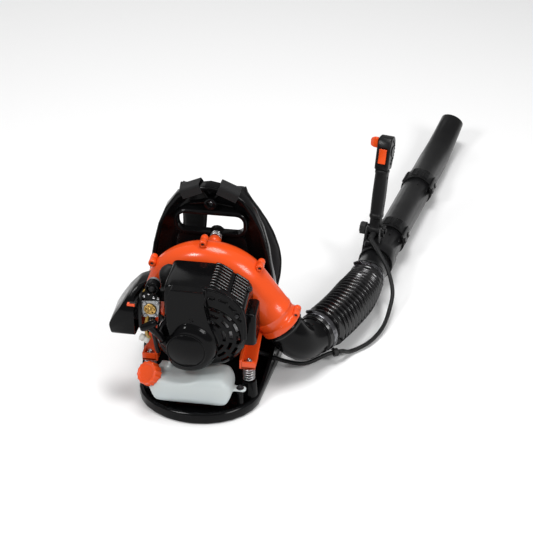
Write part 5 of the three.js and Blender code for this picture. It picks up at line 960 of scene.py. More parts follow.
class BLOWER_OT_stage(bpy.types.Operator):
    """Camera at the photograph's angle, pale floor and soft studio lights"""

    bl_idname = "blower.stage"
    bl_label = "Stage"

    def execute(self, context):
        scene = context.scene
        camera = linked("camera", bpy.data.cameras.new("camera"))
        camera.data.lens, camera.data.sensor_width = CAMERA_LENS, CAMERA_SENSOR
        camera.data.sensor_fit = "HORIZONTAL"
        camera.data.clip_end = CAMERA_REACH
        backwards = CAMERA_RIGHT.cross(CAMERA_UP)
        facing = Matrix((CAMERA_RIGHT, CAMERA_UP, backwards)).transposed().to_4x4()
        camera.matrix_world = Matrix.Translation(CAMERA_PLACE) @ facing
        scene.camera = camera

        floor = bpy.data.meshes.new("studio_floor")
        work = bmesh.new()
        bmesh.ops.create_grid(work, x_segments=8, y_segments=8, size=FLOOR_HALF)
        work.to_mesh(floor)
        work.free()
        floor.materials.append(finish("floor"))
        ground = linked("studio_floor", floor)
        ground.location.z = -FLOOR_DROP

        world = bpy.data.worlds.new("studio")
        world.use_nodes = True
        background = world.node_tree.nodes["Background"].inputs
        background["Color"].default_value = (1, 1, 1, 1)
        background["Strength"].default_value = WORLD_LIGHT
        scene.world = world
        scene.view_settings.view_transform = "Standard"
        for name, place, width, power in LAMPS:
            lamp = linked(name, bpy.data.lights.new(name, "AREA"))
            lamp.data.size, lamp.data.energy = width, power
            lamp.location = place
            lamp.rotation_euler = (LAMP_AIM - Vector(place)).to_track_quat("-Z", "Y").to_euler()
        return {"FINISHED"}


# ------------------------------------------------------------------ control cable

class BLOWER_OT_cables(bpy.types.Operator):
    """Throttle cable from the engine through its clip and up to the handle"""

    bl_idname = "blower.cables"
    bl_label = "Throttle cable"

    def execute(self, context):
        radius = context.scene.blower_sizes.cable / MM
        fixed = spline([*CABLE_FIXED, clip_at(-16), clip_at(-7)], 30)
        self.lay("throttle_cable_inner", fixed, radius, "cable_fixed", "machine")
        end, before = (WAND @ (HANDLE_PIVOT - Vector((0, y, CABLE_DROP))) for y in (12.3, 28))
        loop = spline([clip_at(7.3), clip_at(16), *CABLE_LOOP, before, end], CABLE_STEPS)
        cuts = [round(share * CABLE_STEPS) for share in CABLE_SPLITS]
        bodies = ("machine", "hose_mid", "hose_end", "wand")
        for i, name in enumerate("abc"):
            run = loop[cuts[i]:cuts[i + 1] + 1]
            self.lay(f"throttle_cable_{name}", run, radius, f"cable_loop_{name}", *bodies[i:i + 2])
        profile = [(0, 0), (5.2, 0), (5.6, 1), (6.4, 9), (6.9, 18), (7.2, 22), (6.6, 23), (0, 23)]
        boot = turned(profile, end + (before - end).normalized() * 21, end - before, 24)
        dress(solid("cable_boot", *boot), "black_rubber", "wand")
        return {"FINISHED"}

    def lay(self, name, run, radius, node, body, other=None):
        cable = solid(name, *rope(run, radius, 60, 18))
        dress(cable, "black_rubber", None if other else body, [node])
        if other:
            run[0] * MM
            run[-1] * MM
            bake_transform(cable)
        path = [p * MM for p in run]
        travelled(run)[-1] * MM
        2 * radius * MM


# ------------------------------------------------------------------ fan case

class BLOWER_OT_fan_case(bpy.types.Operator):
    """Moulded spiral case with its joint line, ears, outlet collar, spring arms and screws"""

    bl_idname = "blower.fan_case"
    bl_label = "Fan case"

    def execute(self, context):
        spiral = self.spiral(context.scene.blower_sizes.seam / MM)
        case = gathered("fan_case", [spiral, self.drum(), *self.ears(), self.top_boss()])
        dress(case, "orange_shell", replaces=["fan_case_front", "fan_case_back"])
        arms = gathered("spring_arms", [part for x in SPRING_X for part in self.arm(x)])
        dress(rounded(arms, 1.1), "orange_shell")
        heads = [screw(at + FRONT * 12.5, FRONT, 3.1, 2.6) for at in self.ear_places()]
        dress(gathered("case_screws", heads), "dark_steel")
        return {"FINISHED"}

    def spiral(self, seam):
        """Duct that widens round the fan, then the straight outlet with its collar."""
        def ring(duct, at, out):
            points = []
            for a in turns(64):
                reach = duct if a else duct - seam
                points.append(at + out * reach * math.cos(a) + BACK * reach * math.sin(a))
            return points

        rings = []
        for i in range(VOLUTE_STEPS + 1):
            degrees = VOLUTE_START + (VOLUTE_END - VOLUTE_START) * i / VOLUTE_STEPS
            duct = duct_at(degrees)
            out = (fan_place(degrees, 1) - FAN).normalized()
            rings.append(ring(duct, fan_place(degrees, VOLUTE_CORE + duct), out))
        r, tip = DUCT_RADIUS, DUCT_LENGTH
        foot, rise = tip - COLLAR_LENGTH, r + COLLAR_RISE
        stations = [
            (20, r), (60, r), (foot - 22, r), (foot - 21, r + 1.2), (foot - 18, r + 1.2),
            (foot - 17, r), (foot, r), (foot + 0.6, rise - 0.4), (foot + 1.4, rise),
            (tip - 1.2, rise), (tip - 0.3, rise - 0.5), (tip, rise - 1.4), (tip, r - 2.6),
            (tip - 14, r - 2.7),
        ]
        rings += [ring(radius, OUTLET + FLOW * distance, OUTWARD) for distance, radius in stations]
        return skin(rings)

    def drum(self):
        r, half, wall = DRUM_RADIUS, DRUM_HALF, DRUM_WALL
        return hoop([
            (8, -half), (r - 5, -half), (r - 1.4, 1.4 - half), (r, 5 - half), (r, half - 5),
            (r - 1.4, half - 1.4), (r - 5, half), (60, half), (59, half + 1), (59, half + 4.4),
            (58.4, half + 5), (55.6, half + 5), (55, half + 4.4), (55, half - wall),
            (r - wall, half - wall), (r - wall, wall - half), (8, wall - half),
        ], FAN, 96)

    def ear_places(self):
        places = [fan_place(a, VOLUTE_CORE + 2 * duct_at(a) + BOSS_RADIUS - 3) for a in BOSS_ANGLES]
        return places + [OUTLET + FLOW * (DUCT_LENGTH - EXIT_BOSS_BACK) + OUTWARD * (DUCT_RADIUS + 3)]

    def ears(self):
        r = BOSS_RADIUS
        profile = [
            (0, 4), (3.4, 4), (3.4, 0.8), (4.2, 0.1), (r - 1.8, 0), (r - 0.5, 0.6), (r, 2), (r, 16.4),
            (r - 0.6, 17), (r, 17.6), (r, 28), (r - 0.6, 29.8), (r - 2, 30.6), (0, 30.8),
        ]
        return [turned(profile, at - BACK * 17, BACK, 32) for at in self.ear_places()]

    def top_boss(self):
        r = SPRING_OUTER + 1
        profile = [(0, 0), (r, 0), (r, 20.6), (r - 0.8, 22.2), (r - 2, 22.7), (0, 22.7)]
        return turned(profile, Vector((TOP_SPRING.x, FAN.y + 20, TOP_SPRING.z)), BACK, 40)

    def arm(self, x):
        """Bracket from the drum's face down to the seat on top of one tray spring."""
        side = math.copysign(1, x)
        foot = SPRING_BOTTOM + SPRING_HEIGHT + 0.3
        face = FAN.y - DRUM_HALF
        root, front, back = face + 12, SPRING_Y - 13, SPRING_Y + 15
        slope = [(front, foot), (back, foot), (root, foot + 26)]
        web = slope + [(root, foot + 92), (root - 26, foot + 46), (back - 8, foot + 30), (front, foot + 22)]
        shelf = slope + [(root, foot + 32), (back, foot + 6), (front, foot + 6)]
        inside = x - side * 15
        low, high = sorted((side * 60, x + side * 15))
        return [
            prism(web, inside - 3, inside + 3),
            prism(shelf, x - 15, x + 15),
            bar((x - 15, front, foot + 0.5), (x + 15, front + 4, foot + 18)),
            bar((x - 15, front + 0.5, foot + 0.5), (x - 10, back - 0.5, foot + 17.5)),
            bar((low, face + 2, foot + 29), (high, root - 0.4, foot + 91)),
            button(Vector((x, SPRING_Y, foot + 1)), UP, 8.5, 0, 10, 11.5, 0.7, 28),
        ]


# ------------------------------------------------------------------ springs

class BLOWER_OT_springs(bpy.types.Operator):
    """Coil springs under the engine and behind the case; the tray's two have a washer and bolt"""

    bl_idname = "blower.springs"
    bl_label = "Vibration springs"

    def execute(self, context):
        sizes = context.scene.blower_sizes
        wire = sizes.spring_wire / MM
        for name, x in zip(("spring_left", "spring_right"), SPRING_X):
            foot = Vector((x, SPRING_Y, SPRING_BOTTOM))
            self.coil(name, foot, UP, SPRING_HEIGHT, sizes.spring_turns, wire)
            top = foot + UP * (SPRING_HEIGHT + 13)
            bolt = [washer(top, UP, 7), screw(top + UP, UP, 4.6, 4)]
            dress(gathered(f"{name}_bolt", bolt), "bright_steel")
        self.coil("spring_top", TOP_SPRING, BACK, TOP_SPRING_LENGTH, TOP_SPRING_TURNS, wire)
        return {"FINISHED"}

    def coil(self, node, foot, axis, length, count, wire):
        direction = square_to(axis)
        first = wire + 0.35
        steps = count * STEPS_PER_TURN
        rings = []
        for i in range(steps + 1):
            out = direction(i / steps * count * math.tau)
            lift = first + (length - 2 * first) * (i / steps)
            centre = foot + axis * lift + out * (SPRING_OUTER - wire)
            rings.append([centre + (out * math.cos(b) + axis * math.sin(b)) * wire for b in turns(10)])
        dress(solid(f"{node}_coil", *skin(rings)), "bright_steel", replaces=[node])


# ------------------------------------------------------------------ elbow and ribbed hose

class BLOWER_OT_hose(bpy.types.Operator):
    """Ribbed hose to the swivel pipe in two lengths, and elbow below the case"""

    bl_idname = "blower.hose"
    bl_label = "Ribbed hose"

    def execute(self, context):
        line = hose_line()
        total = travelled(line)
        stations = self.stations(context.scene.blower_sizes, total[-1])
        middle = len(stations) // 2
        seam_place, _ = place_on(line, total, stations[middle][0])
        rings = circles(line, stations, 64)
        ends = (HOSE_START + HOSE_IN * 30, seam_place, WAND_ORIGIN - WAND_LINE * 25)
        halves = (
            ("hose_near", rings[:middle + 1], "hose_lower", ("machine", "hose_mid"), ends[0], ends[1]),
            ("hose_far", rings[middle:], "hose_upper", ("hose_mid", "hose_end"), ends[1], ends[2]),
        )
        for name, some, node, (body, other), start, end in halves:
            hose = dress(solid(name, *skin(some)), "hose_black", None, [node])
            start * MM
            end * MM
            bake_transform(hose)
        self.elbow()
        return {"FINISHED"}

    def stations(self, sizes, length):
        """Cuff, folds that narrow near the far end, and far cuff, as (distance, radius)."""
        first = CUFF_LENGTH + CUFF_GAP
        pitch = (length - CUFF_LENGTH - CUFF_GAP - first) / sizes.hose_folds
        peak, valley = sizes.hose_peak / MM, sizes.hose_valley / MM
        lower, upper = ELBOW_RADIUS + 0.3 + CUFF_WALL, CUFF_END_BORE + CUFF_WALL
        stations = [
            (0, lower - 1), (0.8, lower), (9, lower), (9.6, lower + 1), (21, lower + 1), (21.6, lower),
            (CUFF_LENGTH, lower),
        ]
        for i in range(sizes.hose_folds * STEPS_PER_FOLD + 1):
            fold = i / STEPS_PER_FOLD
            narrow = min(max((fold - sizes.hose_folds + HOSE_TAPER) / HOSE_TAPER, 0), 1)
            low = valley + (upper + 1 - valley) * narrow
            high = peak + (upper + 4 - peak) * narrow
            swell = (0.5 - 0.5 * math.cos(fold * math.tau)) ** 0.9
            stations.append((first + fold * pitch, low + (high - low) * swell))
        last = length - CUFF_LENGTH
        return stations + [
            (last, upper), (last + 4, upper), (last + 4.6, upper + 1), (last + 15, upper + 1),
            (last + 15.6, upper), (length - 0.8, upper), (length, upper - 1),
        ]

    def elbow(self):
        seat = OUTLET + FLOW * (DUCT_LENGTH + 0.3)
        bend = bezier(HOSE_START, HOSE_START - HOSE_IN * 46, seat + FLOW * 62, seat, 60)
        line = [HOSE_START + HOSE_IN * (CUFF_LENGTH - i * CUFF_LENGTH / 6) for i in range(6)] + bend
        length = travelled(line)[-1]
        r, cuff, flange = ELBOW_RADIUS, CUFF_LENGTH, DUCT_RADIUS
        stations = [
            (0, r - 1), (1, r), (cuff + 1.6, r), (cuff + 2, r + 0.4), (cuff + 2.6, r + 2),
            (cuff + 3.4, r + 2.5), (cuff + 5.6, r + 2.5), (cuff + 6.4, r + 2), (cuff + 7, r + 0.4),
            (cuff + 8, r),
        ]
        stations += [(cuff + 9 + (length - cuff - 20) * i / 40, r) for i in range(1, 41)]
        stations += [
            (length - 9, r + 0.6), (length - 7.4, r + 2.6), (length - 6, flange + 0.6),
            (length - 5, flange + 1), (length - 0.8, flange + 1), (length, flange + 0.3),
        ]
        elbow = solid("case_elbow", *skin(circles(line, stations, 64)))
        dress(elbow, "gloss_black", replaces=["elbow"])


# ------------------------------------------------------------------ fuel tank and cap

class BLOWER_OT_fuel_tank(bpy.types.Operator):
    """Blown fuel tank with its bolted tab, and the ribbed fuel cap"""

    bl_idname = "blower.fuel_tank"
    bl_label = "Fuel tank"

    def execute(self, context):
        tank = linked("tank_shell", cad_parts["fuel_tank"].data.copy())
        modifier(tank, "WELD", merge_threshold=1e-5)
        melted(tank, 1.5, 10)
        body = tank.vertex_groups.new(name="body")
        for vertex in tank.data.vertices:
            place = vertex.co / MM
            clear = place.x < TAB_CLEAR and (place - NECK_FOOT).length > NECK_CLEAR
            body.add([vertex.index], 1.0 if clear else 0.0, "REPLACE")
        modifier(tank, "SMOOTH", factor=0.5, iterations=120, vertex_group="body")
        dress(applied(tank), "natural_tank", replaces=["fuel_tank"])
        bolt = [washer(TANK_TAB, UP, 8), screw(TANK_TAB + UP, UP, 5, 4.2)]
        dress(gathered("tank_bolt", bolt), "dark_steel")
        r, h = FUEL_CAP_RADIUS, FUEL_CAP_HEIGHT
        profile = [
            (CORE, 0.6, 0), (16.6, 0.6, 0), (17, 0, 0), (r - 1.2, 0, 0.6), (r, 1, 1), (r, 4, 1),
            (r, h - 4, 1), (r - 0.5, h - 2, 0.9), (r - 2, h - 0.5, 0.5), (r - 4, h, 0.1), (r - 7, h, 0),
            (r - 8, h - 1.4, 0), (r - 9, h - 1.6, 0), (CORE, h - 1.6, 0),
        ]
        foot = NECK_FOOT + NECK_AXIS * FUEL_CAP_FOOT
        cap = ribbed(profile, foot, NECK_AXIS, context.scene.blower_sizes.cap_ribs, 2.3, 10)
        dress(solid("ribbed_cap", *cap), "orange_shell", "tank_cap", ["fuel_cap"])
        return {"FINISHED"}


# ------------------------------------------------------------------ starter and engine

class BLOWER_OT_starter(bpy.types.Operator):
    """Moulded face of the recoil starter with its dome and bare cap disc, rope and screws"""

    bl_idname = "blower.starter"
    bl_label = "Recoil starter"

    def execute(self, context):
        column = outlined(STARTER_COLUMN, [(-86, 0), (-108, 0), (-111.2, 1.2), (-113, 3.6)])
        face = melted(gathered("starter_face", [self.dome(), column, self.hood(), self.rim()]), 1.1, 5)
        sink(face, STARTER_SLOTS)
        dress(face, "gloss_black")
        disc_at = Vector((DOME_CENTRE.x, -DOME_FRONT, DOME_CENTRE.z))
        disc = button(disc_at, FRONT, CAP_RADIUS - 5, -2, 0, 0.8, 0.8, 64)
        dress(solid("starter_cap_disc", *disc), "gloss_black")
        heads = [screw(Vector(place), FRONT, 4.4, 3) for place in STARTER_SCREWS]
        dress(gathered("starter_screws", heads), "dark_steel")
        cord = dress(gathered("starter_cord", self.strands()), "webbing", None, ["starter_rope"])
        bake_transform(cord)
        return {"FINISHED"}

    def strands(self):
        """Three twisted strands, half in the guide and half in the grip."""
        start, end = ROPE_EXIT - PULL * ROPE_REACH, ROPE_EXIT + PULL * ROPE_REACH
        out = square_to(PULL)
        strands = []
        for phase in turns(3):
            line = []
            for i in range(ROPE_STEPS + 1):
                share = i / ROPE_STEPS
                offset = out(share * ROPE_TURNS * math.tau + phase) * ROPE_RADIUS * 0.5
                line.append(start.lerp(end, share) + offset)
            strands.append(rope(line, ROPE_RADIUS * 0.56, ROPE_STEPS, 8))
        return strands

    def dome(self):
        """Wide dome round the cap disc, drawn in beside the rope guide."""
        top = CAP_RADIUS - 2

        def ring(share, lift):
            places = []
            for a in turns(72):
                away = abs((a - math.radians(DOME_NOTCH) + math.pi) % math.tau - math.pi)
                drawn = min(max((away - 0.5) / 0.9, 0), 1)
                base = top + 1.2 + (DOME_RADIUS - top - 1.2) * drawn * drawn * (3 - 2 * drawn)
                reach = top + (base - top if share >= 0 else top) * share
                places.append(DOME_CENTRE + Vector((math.cos(a) * reach, -lift, math.sin(a) * reach)))
            return places

        rings = [ring(-0.999, DOME_BACK), ring(1, DOME_BACK), ring(1, DOME_SHOULDER - 2)]
        for i in range(1, 9):
            turn = math.radians(i * 90 / 8)
            lift = DOME_SHOULDER + (DOME_FRONT - DOME_SHOULDER) * math.sin(turn)
            rings.append(ring(math.cos(turn), lift))
        lip = ((-0.02, 1.8), (-0.045, 1.8), (-0.075, -0.6), (-0.999, -0.6))
        return skin(rings + [ring(share, DOME_FRONT + lift) for share, lift in lip])

    def hood(self):
        """Upper border of the grille, out to the line where the cover's roof meets it."""
        inner = arc(HOOD_X, HOOD_Z, HOOD_RADIUS, 116, -12, 16)
        return outlined([*inner, *reversed(self.brow())], [(-80, 0), (-94, 0), (-96, 1.5)])

    def brow(self):
        return [(p.x, p.z) for p in spline([(x, 0, z) for x, z in STARTER_BROW], 40)]

    def rim(self):
        return rope([Vector((x, -94.5, z)) for x, z in self.brow()], 3.4, 60, 14, BACK)


class BLOWER_OT_cover(bpy.types.Operator):
    """Louvre ribs on the cover's roof, plug boot and corner bolt"""

    bl_idname = "blower.cover"
    bl_label = "Engine cover trim"

    def execute(self, context):
        ribs, tip = [], LOUVRE_TIP
        for row in range(LOUVRE_ROWS + 1):
            y = LOUVRE_FIRST - (row - 0.5) * LOUVRE_PITCH
            for points in LOUVRE_RUNS:
                line = spline([(x, y, z) for x, z in points], 16)
                total = travelled(line)[-1]
                stations = [(0, 0.3), (tip * 0.4, 2), (tip, 2.8)]
                stations += [(tip + (total - 2 * tip) * i / 16, 3) for i in range(1, 16)]
                stations += [(total - tip, 2.8), (total - tip * 0.4, 2), (total, 0.3)]
                ribs.append(skin(circles(line, stations, 10, BACK)))
        dress(gathered("roof_ribs", ribs), "hose_black")

        line = spline(PLUG_BOOT, 30)
        total = travelled(line)[-1]
        boot = circles(line, [(total * i / 16, girth) for i, girth in enumerate(BOOT_GIRTHS)], 24)
        dress(solid("plug_boot", *skin(boot)), "black_rubber")

        bolt = [
            button(COVER_BOLT, COVER_BOLT_AXIS, 6.4, -6, 0, 0.8, 0.6, 24),
            screw(COVER_BOLT + COVER_BOLT_AXIS, COVER_BOLT_AXIS, 4.6, 4),
        ]
        dress(gathered("cover_bolts", bolt), "dark_steel")
        return {"FINISHED"}


class BLOWER_OT_intake(bpy.types.Operator):
    """Face plate, jets, primer housing, fuel tubes and choke tab of the carburettor"""

    bl_idname = "blower.intake"
    bl_label = "Carburettor fittings"

    def execute(self, context):
        face = outlined(CARB_PLATE, [(-56, 0), (-63, 0), (-64, 1)])
        lugs = [button(Vector((x, -64, z)), FRONT, 4.6, -7, 1, 1.8, 0.6, 24) for x, z in CARB_LUGS]
        dress(rounded(gathered("carburettor_face", [face, *lugs]), 0.8), "alloy")
        dress(gathered("carburettor_plug", self.plug()), "brass")
        heads = [screw(Vector((x, -65, z)), FRONT, 2.8, 2) for x, z in CARB_LUGS]
        dress(gathered("carburettor_screws", heads), "bright_steel")
        self.primer()
        for name, radius, look, points in FUEL_TUBES:
            dress(self.tube(name, spline(points, 26), radius), look)
        pump = [
            (0, 0), (6.2, 0), (7.4, 1), (7.4, 9), (6.8, 9.6), (6.8, 12), (7.4, 12.6), (7.4, 19),
            (6, 20.4), (0, 20.4),
        ]
        dress(solid("fuel_connector", *turned(pump, PUMP_FOOT, PUMP_AXIS, 28)), "pale_cap")
        x, y, z = CHOKE_TAB
        pad = outlined(
            [(x - 11, z - 2), (x - 11, z + 2), (x + 5, z + 2.6), (x + 5, z - 2.6)],
            [(y + 7.2, 0), (y, 0), (y - 0.6, 0.6)],
        )
        dress(rounded(solid("choke_tab", *pad), 0.8), "orange_shell", "choke")
        return {"FINISHED"}

    def plug(self):
        """Brass plug of the carburettor with a ring of six jets."""
        profile = [
            (0, -1), (13, -1), (13, 1.4), (12.2, 2.4), (10.6, 2.6), (10, 1.4), (7.4, 1.2), (6.8, 2.2),
            (5.4, 2.2), (5, 0.8), (3.4, 0.8), (3, 3), (0, 3),
        ]
        jet = [(0, 0), (1.5, 0), (1.5, 1.4), (0, 1.8)]
        places = [
            CARB_PLUG + Vector((8.6 * math.cos(a), -1.8, 8.6 * math.sin(a))) for a in turns(6)
        ]
        return [turned(profile, CARB_PLUG, FRONT, 40)] + [turned(jet, at, FRONT, 12) for at in places]

    def tube(self, name, points, radius):
        """Round tube along points with rounded ends."""
        total = travelled(points)[-1]
        steps = len(points) * 2
        tip = [(TUBE_TIP * (1 - math.cos(a)), max(radius * math.sin(a), CORE)) for a in (0, 0.4, 0.8, 1.2)]
        stations = tip + [(TUBE_TIP + (total - 2 * TUBE_TIP) * i / steps, radius) for i in range(steps + 1)]
        stations += [(total - d, r) for d, r in reversed(tip)]
        return solid(name, *skin(circles(points, stations, 16)))

    def primer(self):
        """Black housing round the primer bulb, with the linkage block and its screws below it."""
        collar = (
            (9.4, 14), (14.6, 14), (14.8, -1), (14, -3.4), (11.6, -4.4), (10.8, -4.2), (10.2, -2.6), (9.4, 2),
        )
        made = gathered("primer_housing", [
            hoop(collar, PRIMER, 48),
            outlined(LINKAGE_BLOCK, [(-40, 0), (-59, 0), (-61, 1.6)]),
            bar((-106, -57.5, 256), (-100, -52, 270)),
            bar((-86, -57, 256), (-81, -50, 268)),
        ])
        dress(rounded(made, 0.9), "gloss_black")
        heads = ((-109, 250, 3, 2.4), (-89, 248, 3, 2.4), (-80, 246, 3, 2.4), (-99, 256, 2.4, 2))
        screws = [screw(Vector((x, -60.6, z)), FRONT, radius, height) for x, z, radius, height in heads]
        dress(gathered("linkage_screws", screws), "bright_steel")


# ------------------------------------------------------------------ handle and pipes

class BLOWER_OT_handle(bpy.types.Operator):
    """Grip sleeve, saddle, pivot disc, toothed hub, cruise tab and screws of the control handle"""

    bl_idname = "blower.handle"
    bl_label = "Control handle"

    def execute(self, context):
        heads = [screw(HANDLE @ Vector(place), HANDLE_RIGHT, 3.2, 1.6) for place in HANDLE_SCREWS]
        dress(gathered("handle_screws", heads), "dark_steel", "handle")
        self.grip()
        self.saddle()
        tab = [
            [HANDLE @ Vector((-HEAD_HALF - 1 - reach, 1 + (y - 1) * share, 203 + (z - 203) * share))
             for y, z in CRUISE_TAB]
            for reach, share in ((0, 1), (8, 0.98), (14, 0.8), (17, 0.62), (17.6, 0.5))
        ]
        dress(rounded(solid("cruise_tab", *skin(tab)), 0.9), "orange_shell", "cruise")
        profile = [
            (CORE, 0, 0), (13.6, 0, 0.3), (14.4, 0.8, 1), (14.4, 3.4, 1), (13.6, 4.2, 0.3), (9, 4.4, 0),
            (8.6, 3.4, 0), (CORE, 3.4, 0),
        ]
        discs = [
            ribbed(profile, WAND @ (HANDLE_PIVOT + RIGHT * 19.8), WAND_RIGHT, 18, 1.2, 6),
            button(WAND @ (HANDLE_PIVOT + RIGHT * 22.6), WAND_RIGHT, 6.4, 0, 4.6, 5.4, 0.8, 6),
        ]
        dress(gathered("pivot_disc", discs), "satin_black", "wand")
        self.teeth()
        return {"FINISHED"}

    def teeth(self):
        """Hub on the side of the handle's head with a ring of teeth round it."""
        hub_profile = [(0, 0), (11, 0), (12, 0.8), (12, 2), (11, 2.8), (0, 2.8)]
        parts = []
        for i in range(9):
            a = math.radians(-64 + i * 19)
            at = Vector((HEAD_HALF, 4 + 17 * math.cos(a), HEAD_Z + 24 * math.sin(a)))
            parts.append(moved(bar(at - Vector((0.6, 2.2, 2.2)), at + Vector((1.8, 2.2, 2.2))), HANDLE))
        parts.append(turned(hub_profile, HANDLE @ Vector((HEAD_HALF - 0.6, 5, HEAD_Z)), HANDLE_RIGHT, 40))
        dress(rounded(gathered("head_teeth", parts), 0.6, 2), "satin_black", "handle")

    def grip(self):
        """Moulded sleeve with a collar at each end, open where the trigger swings in."""
        rings = []
        for z, swell in GRIP_RINGS:
            half, deep, corner = 13.5 + swell, 16 + swell, 9 + swell * 0.5
            side, front = half - corner, deep - corner
            turn = math.degrees(math.acos((TRIGGER_GAP - side) / corner))
            floor = 0.6 if z > TRIGGER_TOP else GRIP_BACK
            outline = arc(side, front, corner, 0, turn, 6) + [(TRIGGER_GAP, floor), (-TRIGGER_GAP, floor)]
            outline += arc(-side, front, corner, 180 - turn, 180, 6)
            outline += arc(-side, -front, corner, 180, 270, 6) + arc(side, -front, corner, 270, 360, 6)
            rings.append([HANDLE @ Vector((x, min(y, GRIP_BACK), z)) for x, y in outline])
        dress(solid("grip_sleeve", *skin(rings)), "grained_black", "handle")

    def saddle(self):
        """Web that fills the bracket between its two ears, under the handle's foot."""
        rings = [
            [WAND @ Vector((HANDLE_PIVOT.x + x * (1 - inset / 20), y, z - inset)) for x, z in SADDLE]
            for y, inset in ((80, 1.5), (83, 0), (104, 0), (128, 0), (131, 1.5))
        ]
        made = solid("bracket_saddle", *skin(rings), smooth=False)
        dress(rounded(made, 1.2), "satin_black", "wand")


class BLOWER_OT_pipes(bpy.types.Operator):
    """Grip ribs, latches and index marks at the bells of the pipe and the nozzle"""

    bl_idname = "blower.pipes"
    bl_label = "Pipe joints"

    def execute(self, context):
        for name, start, body, mark_body in BELLS:
            latch = [
                bar((-7, start - 13, BELL_RADIUS - 2.5), (7, start + 30, BELL_RADIUS + 3)),
                bar((-5.5, start - 11, BELL_RADIUS), (5.5, start - 2, BELL_RADIUS + 6)),
                bar((-5.5, start + 18, BELL_RADIUS), (5.5, start + 27, BELL_RADIUS + 5)),
            ]
            turned_latch = [moved(part, WAND @ turn_about(90 - LATCH_ANGLE, "Y")) for part in latch]
            dress(rounded(gathered(f"{name}_latch", turned_latch), 1.2), "satin_black", body)
            ribs = [self.rib(start + 9 + i * 6, middle) for middle in BELL_RIBS for i in range(6)]
            dress(gathered(f"{name}_grip_ribs", ribs), "satin_black", body)
            mark = bar((-1.6, start - 30, PIPE_RADIUS - 1.5), (1.6, start - 12, PIPE_RADIUS + 1.2))
            marks = [moved(mark, WAND @ turn_about(90 - angle, "Y")) for angle in BELL_MARKS]
            dress(rounded(gathered(f"{name}_index_marks", marks), 0.5, 2), "satin_black", mark_body)
        return {"FINISHED"}

    def rib(self, along, middle):
        """Short rib round a bell, centred at an angle from the wand's right side over the top."""
        run = arc(0, 0, BELL_RADIUS + 0.8, middle - 13, middle + 13, 10)
        line = [Vector((x, along, z)) for x, z in run]
        total = travelled(line)[-1]
        stations = [(0, 0.3), (1, 1.5), *((total * k / 8, 1.9) for k in range(1, 8))]
        stations += [(total - 1, 1.5), (total, 0.3)]
        return moved(skin(circles(line, stations, 8, BACK)), WAND)


# ------------------------------------------------------------------ harness

